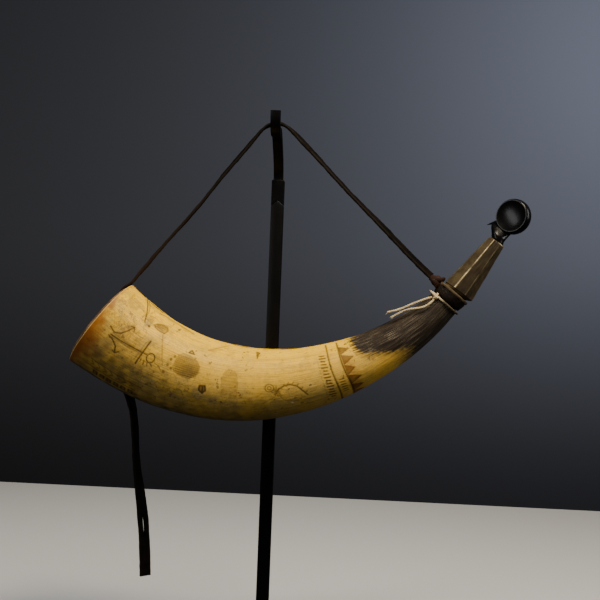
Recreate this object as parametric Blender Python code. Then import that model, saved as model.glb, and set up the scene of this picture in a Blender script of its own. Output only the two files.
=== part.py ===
"""A scrimshaw powder horn that hangs by its leather strap on a black steel stand.

Metres, +Z up. X runs along the horn from its wide base to its spout, and the front faces -Y.
The origin is the middle of the underside of the stand's foot.
"""

import math

import bmesh
import bpy
import numpy as np
from mathutils import Vector

# Gap between pieces that touch
CLEARANCE = 0.0003

# Cow horn, along the middle of its curve
HORN_Y = -0.015
BASE_X = -0.1345
BASE_Z = 0.2594
HORN_LENGTH = 0.3053
HORN_SLOPES = (-36.9, -17.5, 7.3, 27.8, 49.2)
HORN_RADII = (0.0394, 0.0334, 0.0275, 0.0198, 0.0121)
HORN_SIDES = 32
HORN_STEPS = 20
CAVITY_STEPS = 12
RIM_WALL = 0.0032
RIM_ROUND = 0.0006

# Throat, where a groove is turned for the strap
NECK_RADIUS = 0.0102
NECK_LENGTH = 0.0113
NECK_SLOPE = 51.7
SHOULDER = 0.0009

# Spout, scraped to eight flats in the same horn
SPOUT_GAP = 0.0018
SPOUT_DROP = 0.0027
SPOUT_SLOPE = 54.9
SPOUT_LENGTH = 0.0500
SPOUT_FOOT = 0.0255
SPOUT_END = 0.0136
SPOUT_BEVEL = 0.0006
SPOUT_BORE = 0.0072

# Wooden plug in the base
PLUG_DEPTH = 0.012
PLUG_LIP = 0.0022
PLUG_LIP_ROUND = 0.0020
PLUG_DOME = 0.0032
PLUG_DOME_STEPS = 5

# Leather strap
STRAP_WIDTH = 0.010
STRAP_THICK = 0.0024
STRAP_SPACING = 0.006

# Iron staple in the plug, over the strap: its middle on the base, up and towards the back
STAPLE_UP = 0.0080
STAPLE_BACK = 0.0175
STAPLE_TURN = 35.5
STAPLE_WIRE = 0.0024
STAPLE_LEG = 0.006
STAPLE_CROWN = 0.0078
STAPLE_CORNER = 0.0024
STAPLE_SIDE_ROOM = 0.0006

# Knot that stops the strap behind the staple
BASE_KNOT_UP = -0.0015
BASE_KNOT_BACK = 0.0255
BASE_KNOT_OUT = 0.0063
BASE_KNOT_HALF = (0.0065, 0.0070, 0.0034)

# Band of strap leather round the throat, a slight cone, and its knot
BAND_WIDTH = 0.0096
BAND_START = 0.0013
BAND_THICK_LOW = 0.0019
BAND_THICK_HIGH = 0.0038
BAND_SIDES = 36
KNOT_ALONG = 0.0085
KNOT_OUT = 0.0158
KNOT_FORWARD = 0.002
KNOT_HALF = (0.0052, 0.0050, 0.0054)

# Twine round the horn just below the throat
TWINE = 0.0016
TWINE_BACK = 0.0010
TWINE_KNOT_BACK = 0.0023
TWINE_KNOT_TURN = 53.0
TWINE_KNOT_HALF = (0.0030, 0.0019, 0.0030)
TWINE_SIDES = 6

# Stopper
STOPPER_SHANK = 0.016
STOPPER_SHANK_TIP = 0.0008
STOPPER_HEAD_REACH = 0.0239
STOPPER_HEAD_RISE = 0.0014
STOPPER_HEAD_RADIUS = 0.0142
STOPPER_HEAD_THICK = 0.0092
STOPPER_FACE = 0.0122
STOPPER_DISH = 0.0022
STOPPER_TURN = 30.0
STOPPER_TILT = 6.0
NECK_SIDES = 20
HEAD_SIDES = 28
RIM_STEPS = 4

# Stopper's neck: distance from the spout's tip, shift and half width across the horn's plane,
# half depth, and twist towards the head
STOPPER_NECK = (
    (0.0005, 0.0000, 0.0052, 0.0052, 0),
    (0.0010, 0.0000, 0.0057, 0.0057, 0),
    (0.0032, 0.0012, 0.0061, 0.0055, 4),
    (0.0070, 0.0027, 0.0078, 0.0049, 13),
    (0.0100, 0.0032, 0.0087, 0.0042, 20),
    (0.0130, 0.0029, 0.0090, 0.0034, 26),
    (0.0150, 0.0020, 0.0075, 0.0022, 29),
)

# Spur at the head's lower left edge: its root from the head's middle, its lean and its size
SPUR_LEFT = 0.0122
SPUR_DROP = 0.0038
SPUR_LEAN = 15.0
SPUR_LENGTH = 0.0106
SPUR_THICK = 0.0030

# Stand
FOOT_WIDTH = 0.150
FOOT_DEPTH = 0.120
FOOT_THICK = 0.006
FOOT_CORNER = 0.004
FOOT_EDGE = 0.0008
POST_Y = 0.035
POST_SIZE = 0.0103
POST_TOP = 0.3666
POST_GABLE = 0.0045
SOCKET_TOP = POST_TOP + 0.0173
SOCKET_BEVEL = 0.0009
SOCKET_DEPTH = 0.0050
ROD_SIZE = 0.0078
ROD_EDGE = 0.0008

# Route of the hook's rod above its socket: distance in front of the post's axis, height above
# the socket's floor
ROD_ROUTE = (
    (0.0000, 0.0004),
    (0.0000, 0.0033),
    (0.0001, 0.0063),
    (0.0025, 0.0136),
    (0.0130, 0.0251),
    (0.0250, 0.0339),
    (0.0350, 0.0395),
    (0.0440, 0.0397),
    (0.0492, 0.0400),
    (0.0556, 0.0451),
    (0.0578, 0.0549),
)

# Route of the strap from the throat's knot over the hook to the base: X, Y, Z and twist in degrees
STRAP_ROUTE = (
    (0.1285, -0.0150, 0.3068, 24),
    (0.1122, -0.0146, 0.3216, 22),
    (0.0923, -0.0138, 0.3411, 20),
    (0.0595, -0.0122, 0.3725, 12),
    (0.0276, -0.0098, 0.4053, 5),
    (0.0170, -0.0090, 0.4158, 3),
    (0.0056, -0.0085, 0.4245, 0),
    (0.0000, -0.0085, 0.4256, 0),
    (-0.0048, -0.0085, 0.4244, 0),
    (-0.0093, -0.0085, 0.4217, 2),
    (-0.0181, -0.0085, 0.4118, 7),
    (-0.0391, -0.0085, 0.3855, 9),
    (-0.0595, -0.0086, 0.3580, 9),
    (-0.0904, -0.0088, 0.3208, 12),
    (-0.1026, -0.0090, 0.3055, 14),
    (-0.1096, -0.0090, 0.2967, 10),
    (-0.1133, -0.0090, 0.2923, 6),
    (-0.1165, -0.0086, 0.2897, 0),
    (-0.1200, -0.0076, 0.2860, 0),
    (-0.1250, -0.0050, 0.2798, 0),
    (-0.1299, -0.0013, 0.2735, 0),
    (-0.1336, 0.0025, 0.2687, 0),
    (-0.1365, 0.0060, 0.2652, 0),
)

# Route of the strap's tail from the base's knot over the rim's back and down: X, Y, Z and twist
TAIL_ROUTE = (
    (-0.1433, 0.0154, 0.2581, 0),
    (-0.1444, 0.0202, 0.2543, 0),
    (-0.1441, 0.0246, 0.2503, 0),
    (-0.1418, 0.0262, 0.2455, 0),
    (-0.1376, 0.0269, 0.2376, 0),
    (-0.1312, 0.0270, 0.2256, 0),
    (-0.1241, 0.0258, 0.2120, 5),
    (-0.1165, 0.0238, 0.1962, 18),
    (-0.1111, 0.0230, 0.1684, 26),
    (-0.1091, 0.0230, 0.1446, 26),
    (-0.1050, 0.0230, 0.1185, 8),
    (-0.1012, 0.0230, 0.0919, -10),
    (-0.0988, 0.0230, 0.0632, -8),
    (-0.0980, 0.0230, 0.0490, -6),
)
SLIT_START = 0.052
SLIT_LENGTH = 0.019
SLIT_WIDTH = 0.0010

# Routes of the twine's loose ends
TWINE_UPPER = (
    (0.1289, -0.0273, 0.2903),
    (0.1238, -0.0272, 0.2886),
    (0.1187, -0.0266, 0.2865),
    (0.1104, -0.0258, 0.2827),
    (0.1020, -0.0252, 0.2791),
    (0.0951, -0.0250, 0.2772),
)
TWINE_LOWER = (
    (0.1303, -0.0283, 0.2882),
    (0.1244, -0.0292, 0.2833),
    (0.1175, -0.0286, 0.2811),
    (0.1112, -0.0272, 0.2800),
    (0.1021, -0.0256, 0.2757),
    (0.0981, -0.0250, 0.2734),
)

# Route of the twine's short end, from the middle of its knot
TWINE_SHORT = (
    (-0.0001, 0.0000, -0.0005),
    (-0.0019, -0.0004, 0.0019),
    (-0.0038, 0.0004, 0.0043),
)


def finish(name, colour, roughness, metallic=0.0):
    """A Principled material with one colour, roughness and metallic value."""
    made = bpy.data.materials.new(name)
    made.use_nodes = True
    shader = made.node_tree.nodes["Principled BSDF"]
    shader.inputs["Base Color"].default_value = (*colour, 1.0)
    shader.inputs["Roughness"].default_value = roughness
    shader.inputs["Metallic"].default_value = metallic
    return made


def solid(name, mesh, material):
    """Puts a finished bmesh in the scene as a named object, its round faces shaded smooth."""
    bmesh.ops.recalc_face_normals(mesh, faces=mesh.faces)
    data = bpy.data.meshes.new(name)
    mesh.to_mesh(data)
    mesh.free()
    data.materials.append(material)
    data.shade_smooth()
    data.set_sharp_from_angle(angle=math.radians(35))
    made = bpy.data.objects.new(name, data)
    bpy.context.scene.collection.objects.link(made)
    return made


def loft(name, rings, material, endless=False):
    """A closed solid through rings of points. An endless one joins its last ring to its first."""
    mesh = bmesh.new()
    made = [[mesh.verts.new(point) for point in ring] for ring in rings]
    pairs = list(zip(made, made[1:]))
    if endless:
        pairs.append((made[-1], made[0]))
    else:
        mesh.faces.new(made[0])
        mesh.faces.new(made[-1])
    for first, second in pairs:
        for i, corner in enumerate(first):
            j = (i + 1) % len(first)
            mesh.faces.new((corner, first[j], second[j], second[i]))
    return solid(name, mesh, material)


def combine(target, other, operation):
    """Joins another solid to the target or cuts it away, and removes that other solid."""
    step = target.modifiers.new(operation.title(), "BOOLEAN")
    step.operation = operation
    step.solver = "EXACT"
    step.object = other
    bpy.context.view_layer.update()
    graph = bpy.context.evaluated_depsgraph_get()
    result = bpy.data.meshes.new_from_object(target.evaluated_get(graph))
    target.modifiers.remove(step)
    target.data = result
    result.shade_smooth()
    result.set_sharp_from_angle(angle=math.radians(35))
    bpy.data.objects.remove(other)


def smooth_curve(route, spacing):
    """Points about spacing apart on the natural cubic spline through a route's own points.

    A fourth number of each point, such as a twist, runs along in the same way.
    """
    given = np.array(route, float)
    runs = np.linalg.norm(np.diff(given[:, :3], axis=0), axis=1)
    at = np.concatenate([[0.0], np.cumsum(runs)])
    count = len(given)
    system = np.eye(count)
    wanted = np.zeros_like(given)
    for i in range(1, count - 1):
        before, after = runs[i - 1], runs[i]
        system[i, i - 1 : i + 2] = before, 2 * (before + after), after
        rise_after = (given[i + 1] - given[i]) / after
        rise_before = (given[i] - given[i - 1]) / before
        wanted[i] = 6 * (rise_after - rise_before)
    bend = np.linalg.solve(system, wanted)
    points = []
    for place in np.linspace(0.0, at[-1], round(at[-1] / spacing) + 1):
        i = min(int(np.searchsorted(at, place, side="right")) - 1, count - 2)
        ahead, behind, run = at[i + 1] - place, place - at[i], runs[i]
        curved = (ahead**3 * bend[i] + behind**3 * bend[i + 1]) / (6 * run)
        start = (given[i] / run - bend[i] * run / 6) * ahead
        end = (given[i + 1] / run - bend[i + 1] * run / 6) * behind
        points.append(curved + start + end)
    return np.array(points)


def carried_frames(points, facing):
    """For each point the direction along, and the facing direction carried along without turning."""
    along = np.gradient(points, axis=0)
    along /= np.linalg.norm(along, axis=1)[:, None]
    frames = []
    for direction in along:
        facing = facing - direction * float(np.dot(facing, direction))
        facing = facing / np.linalg.norm(facing)
        frames.append((Vector(direction), Vector(facing)))
    return frames


def flat_sweep(route, facing, spacing):
    """The rings of a flat strap along a route, its flat side turned to facing at the start."""
    curve = smooth_curve(route, spacing)
    half_wide, half_thick, corner = STRAP_WIDTH / 2, STRAP_THICK / 2, STRAP_THICK / 4
    outline = []
    for side, top in ((1, 1), (-1, 1), (-1, -1), (1, -1)):
        bevel = [
            (side * half_wide, top * (half_thick - corner)),
            (side * (half_wide - corner), top * half_thick),
        ]
        outline += bevel if side == top else bevel[::-1]
    rings = []
    for point, (along, face) in zip(curve, carried_frames(curve[:, :3], np.array(facing, float))):
        turn = math.radians(point[3])
        width = along.cross(face)
        across = width * math.cos(turn) + face * math.sin(turn)
        out = face * math.cos(turn) - width * math.sin(turn)
        middle = Vector(point[:3])
        rings.append([middle + across * u + out * v for u, v in outline])
    return rings


def round_sweep(route, diameter, spacing, sides=TWINE_SIDES):
    """The rings of a round cord along a route."""
    curve = smooth_curve(route, spacing)
    rings = []
    for point, (along, face) in zip(curve, carried_frames(curve, np.array((0.0, 1.0, 0.0)))):
        rings.append(circle(Vector(point), along, face, diameter / 2, sides))
    return rings


def circle(middle, along, up, radius, sides):
    """A ring of points round middle, square to along, that starts at up."""
    side = along.cross(up)
    turns = (2 * math.pi * i / sides for i in range(sides))
    return [middle + (up * math.cos(a) + side * math.sin(a)) * radius for a in turns]


def lump(name, middle, axes, halves, material, sides=12, steps=6):
    """An egg-shaped solid, such as a knot, with its three half sizes along three axes."""
    rings = []
    for step in range(steps):
        polar = math.pi * (step + 0.5) / steps
        reach, wide = math.cos(polar), math.sin(polar)
        ring = []
        for i in range(sides):
            turn = 2 * math.pi * i / sides
            shape = (reach, wide * math.cos(turn), wide * math.sin(turn))
            offset = sum((a * s * h for a, s, h in zip(axes, shape, halves)), Vector())
            ring.append(middle + offset)
        rings.append(ring)
    return loft(name, rings, material)


def sloped(degrees):
    """The direction along a slope in the horn's own plane, and the direction square to it."""
    slope = math.radians(degrees)
    along = Vector((math.cos(slope), 0.0, math.sin(slope)))
    up = Vector((-math.sin(slope), 0.0, math.cos(slope)))
    return along, up


def through(values, share):
    """The smooth curve through values that stand at equal shares from 0 to 1."""
    last = len(values) - 1
    total = 0.0
    for i, value in enumerate(values):
        weight = 1.0
        for j in range(last + 1):
            if j != i:
                weight *= (share * last - j) / (i - j)
        total += value * weight
    return total


def horn_place(share):
    """The middle of the horn at a share of its length, with the directions along and up there."""
    steps = 96
    middle = Vector((BASE_X, HORN_Y, BASE_Z))
    for i in range(steps):
        along, _ = sloped(through(HORN_SLOPES, share * (i + 0.5) / steps))
        middle += along * (HORN_LENGTH * share / steps)
    along, up = sloped(through(HORN_SLOPES, share))
    return middle, along, up


def horn_radius(share):
    return through(HORN_RADII, share)


def cavity_radius(share):
    """The horn's inside: a thin wall at the base, and no more than the bore at the throat."""
    throat_wall = HORN_RADII[-1] - SPOUT_BORE / 2
    return horn_radius(share) - RIM_WALL - (throat_wall - RIM_WALL) * share**2


def horn_ring(share, radius):
    middle, along, up = horn_place(share)
    return circle(middle, along, up, radius, HORN_SIDES)


def neck_place(distance):
    """The middle of the groove at a distance from its start, with the directions there."""
    along, up = sloped(NECK_SLOPE)
    return horn_place(1.0)[0] + along * distance, along, up


def spout_place(distance):
    """The middle of the spout at a distance from its foot, with the directions there."""
    foot, _, up = neck_place(NECK_LENGTH + SPOUT_GAP)
    along, spout_up = sloped(SPOUT_SLOPE)
    return foot - up * SPOUT_DROP + along * distance, along, spout_up


def eight_flats(distance, across):
    """A ring of the spout, its points on the eight flats and their edges."""
    middle, along, up = spout_place(distance)
    side = along.cross(up)
    points = []
    for i in range(HORN_SIDES):
        turn = 2 * math.pi * i / HORN_SIDES
        from_flat = (turn + math.pi / 8) % (math.pi / 4) - math.pi / 8
        reach = across / 2 / math.cos(from_flat)
        points.append(middle + (up * math.cos(turn) + side * math.sin(turn)) * reach)
    return points


def bore_ring(place):
    middle, along, up = place
    return circle(middle, along, up, SPOUT_BORE / 2, HORN_SIDES)


def make_horn(material):
    """The whole horn, from the rim along the outside to the spout and back through the bore."""
    rim = RIM_ROUND / HORN_LENGTH
    rings = [horn_ring(0.0, horn_radius(0.0) - RIM_ROUND), horn_ring(rim, horn_radius(rim))]
    for step in range(1, HORN_STEPS + 1):
        share = step / HORN_STEPS
        rings.append(horn_ring(share, horn_radius(share)))
    for distance, radius in ((SHOULDER, NECK_RADIUS), (NECK_LENGTH, NECK_RADIUS)):
        middle, along, up = neck_place(distance)
        rings.append(circle(middle, along, up, radius, HORN_SIDES))
    rings.append(eight_flats(0.0, SPOUT_FOOT - 2 * SPOUT_BEVEL))
    taper = (SPOUT_FOOT - SPOUT_END) / SPOUT_LENGTH
    for distance in (SPOUT_BEVEL, SPOUT_LENGTH / 3, SPOUT_LENGTH * 2 / 3, SPOUT_LENGTH - SPOUT_BEVEL):
        rings.append(eight_flats(distance, SPOUT_FOOT - taper * distance))
    rings.append(eight_flats(SPOUT_LENGTH, SPOUT_END - 2 * SPOUT_BEVEL))
    rings += [bore_ring(spout_place(SPOUT_LENGTH)), bore_ring(spout_place(0.0))]
    plug_end = PLUG_DEPTH / HORN_LENGTH
    for step in range(CAVITY_STEPS, -1, -1):
        share = plug_end + (1.0 - plug_end) * step / CAVITY_STEPS
        rings.append(horn_ring(share, cavity_radius(share)))
    rings.append(horn_ring(0.0, cavity_radius(0.0)))
    return loft("horn_body", rings, material, endless=True)


def base_place(up_by, back_by, out_by):
    """A point on the base: up its face, towards the back, and out from the rim's plane."""
    middle, along, up = horn_place(0.0)
    return middle + up * up_by + Vector((0.0, back_by, 0.0)) - along * out_by


def staple_place(across_by, out_by):
    """A point of the staple: across the strap that it spans, and out from the rim's plane."""
    turn = math.radians(STAPLE_TURN)
    up_by = STAPLE_UP + across_by * math.sin(turn)
    return base_place(up_by, STAPLE_BACK + across_by * math.cos(turn), out_by)


def make_plug(wood):
    """The turned plug, which follows the cavity, with a rounded lip, a low dome and two holes."""
    _, along, up = horn_place(0.0)
    lip = cavity_radius(0.0) - CLEARANCE
    rings = []
    for share in (PLUG_DEPTH / HORN_LENGTH, 0.0):
        rings.append(horn_ring(share, cavity_radius(share) - CLEARANCE))
    for step in range(1, 4):
        turn = math.pi / 2 * step / 3
        radius = lip - PLUG_LIP_ROUND * (1 - math.cos(turn))
        out = PLUG_LIP - PLUG_LIP_ROUND * (1 - math.sin(turn))
        rings.append(circle(base_place(0, 0, out), along, up, radius, HORN_SIDES))
    dome = lip - PLUG_LIP_ROUND
    for step in range(1, PLUG_DOME_STEPS):
        share = step / PLUG_DOME_STEPS
        out = PLUG_LIP + (PLUG_DOME - PLUG_LIP) * (1 - (1 - share) ** 2)
        rings.append(circle(base_place(0, 0, out), along, up, dome * (1 - share), HORN_SIDES))
    plug = loft("base_plug", rings, wood)
    for side in (-1, 1):
        radius = STAPLE_WIRE / 2 + CLEARANCE
        bottom = staple_place(side * staple_leg_offset(), -STAPLE_LEG - CLEARANCE)
        top = staple_place(side * staple_leg_offset(), 3 * PLUG_DOME)
        holes = [circle(point, along, up, radius, 16) for point in (bottom, top)]
        combine(plug, loft("staple_hole", holes, wood), "DIFFERENCE")
    return plug


def staple_leg_offset():
    return STRAP_WIDTH / 2 + STAPLE_SIDE_ROOM + STAPLE_WIRE / 2


def make_staple(iron):
    """A wire staple whose crown spans the strap, with rounded corners and legs in the plug."""
    leg, crown = staple_leg_offset(), STAPLE_CROWN
    path = [(-leg, -STAPLE_LEG)]
    for step in range(6):
        turn = math.pi / 2 * step / 5
        side = -leg + STAPLE_CORNER * (1 - math.cos(turn))
        path.append((side, crown - STAPLE_CORNER * (1 - math.sin(turn))))
    path += [(-side, out) for side, out in reversed(path)]
    points = np.array([staple_place(side, out) for side, out in path])
    _, _, up = horn_place(0.0)
    rings = []
    for point, (along, face) in zip(points, carried_frames(points, np.array(up))):
        rings.append(circle(Vector(point), along, face, STAPLE_WIRE / 2, 12))
    return loft("strap_staple", rings, iron)


def make_base_knot(leather):
    """The low knot in the strap that keeps it from slipping back through the staple."""
    _, along, up = horn_place(0.0)
    turn = math.radians(STAPLE_TURN)
    back = Vector((0, 1, 0))
    run = back * math.sin(turn) - up * math.cos(turn)
    across = back * math.cos(turn) + up * math.sin(turn)
    middle = base_place(BASE_KNOT_UP, BASE_KNOT_BACK, BASE_KNOT_OUT)
    return lump("strap_base_knot", middle, (run, across, -along), BASE_KNOT_HALF, leather)


def make_strap(leather):
    return loft("strap", flat_sweep(STRAP_ROUTE, (0.6, 0.0, 0.8), STRAP_SPACING), leather)


def make_tail(leather):
    """The strap's loose end, with the slit that once took a button."""
    _, along, _ = horn_place(0.0)
    tail = loft("strap_tail", flat_sweep(TAIL_ROUTE, -along, STRAP_SPACING), leather)
    curve = smooth_curve(TAIL_ROUTE, SLIT_LENGTH / 4)
    runs = np.linalg.norm(np.diff(curve[:, :3], axis=0), axis=1)
    from_end = np.cumsum(runs[::-1])[::-1]
    inside = [i for i, left in enumerate(from_end) if SLIT_START - SLIT_LENGTH < left < SLIT_START]
    along, face = carried_frames(curve[:, :3], np.array((0.0, 1.0, 0.0)))[inside[0]]
    start = Vector(curve[inside[0]][:3])
    side = along.cross(face) * SLIT_WIDTH / 2
    depth = face * STRAP_WIDTH
    ends = []
    for point in (start, start + along * SLIT_LENGTH):
        ends.append([point - side - depth, point + side - depth, point + side + depth, point - side + depth])
    combine(tail, loft("slit", ends, leather), "DIFFERENCE")
    return tail


def make_throat_loop(leather):
    """The band round the throat's groove, wider towards the spout, and its knot."""
    inner = NECK_RADIUS + CLEARANCE
    low, high = inner + BAND_THICK_LOW, inner + BAND_THICK_HIGH
    edge = BAND_THICK_LOW / 4
    end = BAND_START + BAND_WIDTH
    outline = (
        (BAND_START, inner + edge),
        (BAND_START, low - edge),
        (BAND_START + edge, low),
        (end - edge, high),
        (end, high - edge),
        (end, inner + edge),
        (end - edge, inner),
        (BAND_START + edge, inner),
    )
    _, along, up = neck_place(0.0)
    side = along.cross(up)
    rings = []
    for i in range(BAND_SIDES):
        turn = 2 * math.pi * i / BAND_SIDES
        out = up * math.cos(turn) + side * math.sin(turn)
        rings.append([neck_place(distance)[0] + out * radius for distance, radius in outline])
    band = loft("throat_loop", rings, leather, endless=True)
    middle = neck_place(KNOT_ALONG)[0] + up * KNOT_OUT - Vector((0, KNOT_FORWARD, 0))
    axes = (along, Vector((0, 1, 0)), up)
    combine(band, lump("throat_knot", middle, axes, KNOT_HALF, leather), "UNION")
    return band


def round_horn(back, gap, turn):
    """A point round the horn's end: back from the throat, off the surface, turned from the top."""
    share = 1.0 - back / HORN_LENGTH
    middle, along, up = horn_place(share)
    side = along.cross(up)
    out = up * math.cos(math.radians(turn)) + side * math.sin(math.radians(turn))
    return middle + out * (horn_radius(share) + gap), along, out


def make_twine_tie(twine):
    """The twine's turn round the horn, its knot at the front and its short end."""
    gap = CLEARANCE + TWINE / 2
    rings = []
    for i in range(HORN_SIDES):
        middle, along, out = round_horn(TWINE_BACK, gap, 360.0 * i / HORN_SIDES)
        rings.append(circle(middle, out.cross(along), out, TWINE / 2, TWINE_SIDES))
    tie = loft("twine_tie", rings, twine, endless=True)
    knot_gap = CLEARANCE + TWINE_KNOT_HALF[1]
    middle, along, out = round_horn(TWINE_KNOT_BACK, knot_gap, TWINE_KNOT_TURN)
    axes = (along, out, along.cross(out))
    combine(tie, lump("twine_knot", middle, axes, TWINE_KNOT_HALF, twine), "UNION")
    short = [tuple(middle + Vector(point)) for point in TWINE_SHORT]
    combine(tie, loft("twine_short", round_sweep(short, TWINE, TWINE), twine), "UNION")
    return tie


def make_twine_end(name, route, twine):
    return loft(name, round_sweep(route, TWINE, 3 * TWINE), twine)


def make_stopper(black):
    """The stopper: a shank in the bore, a neck that widens to the left, a head and a small spur."""
    tip, along, up = spout_place(SPOUT_LENGTH)
    shank = SPOUT_BORE / 2 - CLEARANCE
    end = shank - STOPPER_SHANK_TIP
    seat = CLEARANCE
    inside = (
        (-STOPPER_SHANK, 0.0, end, end, 0.0),
        (STOPPER_SHANK_TIP - STOPPER_SHANK, 0.0, shank, shank, 0.0),
        (seat, 0.0, shank, shank, 0.0),
        (seat, *STOPPER_NECK[0][1:]),
    )
    rings = []
    for distance, shift, wide, deep, twist in inside + STOPPER_NECK[1:]:
        turn = math.radians(twist)
        across = up * math.cos(turn) + Vector((0, math.sin(turn), 0))
        side = along.cross(across)
        middle = tip + along * distance + across * shift
        angles = [2 * math.pi * i / NECK_SIDES for i in range(NECK_SIDES)]
        rings.append([middle + across * wide * math.cos(a) + side * deep * math.sin(a) for a in angles])
    body = loft("stopper", rings, black)
    middle = tip + along * STOPPER_HEAD_REACH + up * STOPPER_HEAD_RISE
    combine(body, stopper_head(middle, black), "UNION")
    combine(body, stopper_spur(middle, black), "UNION")
    return body


def head_axes():
    """The way the stopper's head faces, the way along its face to the left, and its own down."""
    turn, tilt = math.radians(STOPPER_TURN), math.radians(STOPPER_TILT)
    facing = Vector((-math.sin(turn), -math.cos(turn), math.sin(tilt))).normalized()
    left = facing.cross(Vector((0, 0, 1))).normalized()
    if left.x > 0:
        left = -left
    down = facing.cross(left).normalized()
    if down.z > 0:
        down = -down
    return facing, left, down


def stopper_head(middle, black):
    """The turned head, dished on both faces, turned a little to the left of the front."""
    facing, left, _ = head_axes()
    half = STOPPER_HEAD_THICK / 2
    bowl = ((STOPPER_FACE * 0.35, half - STOPPER_DISH * 0.95), (STOPPER_FACE * 0.7, half - STOPPER_DISH * 0.62))
    lip = ((STOPPER_FACE * 0.95, half - STOPPER_DISH * 0.12), (STOPPER_FACE, half))
    rim = []
    for step in range(1, RIM_STEPS + 1):
        bulge = math.pi / 2 * (1 - step / RIM_STEPS)
        reach = STOPPER_FACE + (STOPPER_HEAD_RADIUS - STOPPER_FACE) * math.cos(bulge)
        rim.append((reach, half * math.sin(bulge)))
    front = [*bowl, *lip, *rim]
    profile = front + [(radius, -height) for radius, height in reversed(front[:-1])]
    rings = [circle(middle + facing * height, facing, left, radius, HEAD_SIDES) for radius, height in profile]
    return loft("stopper_head", rings, black)


def stopper_spur(middle, black):
    """A small pointed spur at the head's lower left edge."""
    facing, left, down = head_axes()
    lean = math.radians(SPUR_LEAN)
    along = left * math.cos(lean) + down * math.sin(lean)
    root = middle + left * SPUR_LEFT + down * SPUR_DROP
    rings = []
    for share, size in ((0.0, 1.0), (0.35, 0.8), (0.7, 0.45), (1.0, 0.12)):
        rings.append(circle(root + along * SPUR_LENGTH * share, along, facing, SPUR_THICK / 2 * size, 8))
    return loft("stopper_spur", rings, black)


def upright(name, outline, middle_y, depth, steel):
    """A bar with an outline of X and Z that runs through from front to back."""
    rings = [[Vector((x, middle_y + half * depth / 2, z)) for x, z in outline] for half in (-1, 1)]
    return loft(name, rings, steel)


def make_foot(steel):
    """The flat foot, a plate with rounded corners and a small bevel round its edges."""
    mesh = bmesh.new()
    outline = []
    for x, y, quarter in ((1, 1, 0), (-1, 1, 1), (-1, -1, 2), (1, -1, 3)):
        for step in range(5):
            turn = math.pi / 2 * (quarter + step / 4)
            outline.append(
                (
                    x * (FOOT_WIDTH / 2 - FOOT_CORNER) + FOOT_CORNER * math.cos(turn),
                    y * (FOOT_DEPTH / 2 - FOOT_CORNER) + FOOT_CORNER * math.sin(turn),
                )
            )
    plate = mesh.faces.new([mesh.verts.new((x, y, 0.0)) for x, y in outline])
    raised = bmesh.ops.extrude_face_region(mesh, geom=[plate])["geom"]
    corners = [item for item in raised if isinstance(item, bmesh.types.BMVert)]
    bmesh.ops.translate(mesh, vec=(0, 0, FOOT_THICK), verts=corners)
    foot = solid("stand_foot", mesh, steel)
    edge = foot.modifiers.new("Edge", "BEVEL")
    edge.width = FOOT_EDGE
    edge.segments = 1
    edge.limit_method = "ANGLE"
    return foot


def make_post(steel):
    half, bottom, eaves = POST_SIZE / 2, FOOT_THICK + CLEARANCE, POST_TOP - POST_GABLE
    outline = [(-half, bottom), (half, bottom), (half, eaves), (0, POST_TOP), (-half, eaves)]
    return upright("stand_post", outline, POST_Y, POST_SIZE, steel)


def make_socket(steel):
    """The block on the post's gabled end, with the square hole that holds the hook's rod."""
    half, lift = POST_SIZE / 2, 1.5 * CLEARANCE
    eaves = POST_TOP - POST_GABLE + lift
    bevel = SOCKET_BEVEL
    outline = [
        (-half, eaves),
        (0, POST_TOP + lift),
        (half, eaves),
        (half, SOCKET_TOP - bevel),
        (half - bevel, SOCKET_TOP),
        (bevel - half, SOCKET_TOP),
        (-half, SOCKET_TOP - bevel),
    ]
    socket = upright("hook_socket", outline, POST_Y, POST_SIZE, steel)
    hole, floor = ROD_SIZE / 2 + CLEARANCE, SOCKET_TOP - SOCKET_DEPTH
    hollow = [(-hole, floor), (hole, floor), (hole, 2 * SOCKET_TOP), (-hole, 2 * SOCKET_TOP)]
    combine(socket, upright("hollow", hollow, POST_Y, 2 * hole, steel), "DIFFERENCE")
    return socket


def make_rod(steel):
    """The square rod, bent forward to a hook with a low saddle and an upright tip."""
    floor = SOCKET_TOP - SOCKET_DEPTH
    route = [(0.0, POST_Y - forward, floor + rise) for forward, rise in ROD_ROUTE]
    half, edge = ROD_SIZE / 2, ROD_EDGE
    rings = []
    curve = smooth_curve(route, ROD_SIZE / 3)
    for point, (along, face) in zip(curve, carried_frames(curve, np.array((0.0, 1.0, 0.0)))):
        side = along.cross(face)
        ring = []
        for u, v in ((1, 1), (-1, 1), (-1, -1), (1, -1)):
            bevel = [(u * half, v * (half - edge)), (u * (half - edge), v * half)]
            for a, b in bevel if u == v else bevel[::-1]:
                ring.append(Vector(point) + side * a + face * b)
        rings.append(ring)
    return loft("hook_rod", rings, steel)


def main():
    for old in list(bpy.data.objects):
        bpy.data.objects.remove(old)
    horn = finish("horn", (0.62, 0.44, 0.17), 0.38)
    wood = finish("plug_wood", (0.30, 0.19, 0.10), 0.6)
    iron = finish("iron", (0.05, 0.045, 0.04), 0.55, 0.8)
    leather = finish("leather", (0.035, 0.024, 0.018), 0.65)
    twine = finish("twine", (0.60, 0.54, 0.40), 0.9)
    black = finish("stopper_black", (0.01, 0.01, 0.011), 0.18)
    steel = finish("black_steel", (0.012, 0.012, 0.013), 0.4)
    make_horn(horn)
    make_plug(wood)
    make_staple(iron)
    make_base_knot(leather)
    make_strap(leather)
    make_tail(leather)
    make_throat_loop(leather)
    make_twine_tie(twine)
    make_twine_end("twine_end_upper", TWINE_UPPER, twine)
    make_twine_end("twine_end_lower", TWINE_LOWER, twine)
    make_stopper(black)
    make_foot(steel)
    make_post(steel)
    make_socket(steel)
    make_rod(steel)


main()
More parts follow.
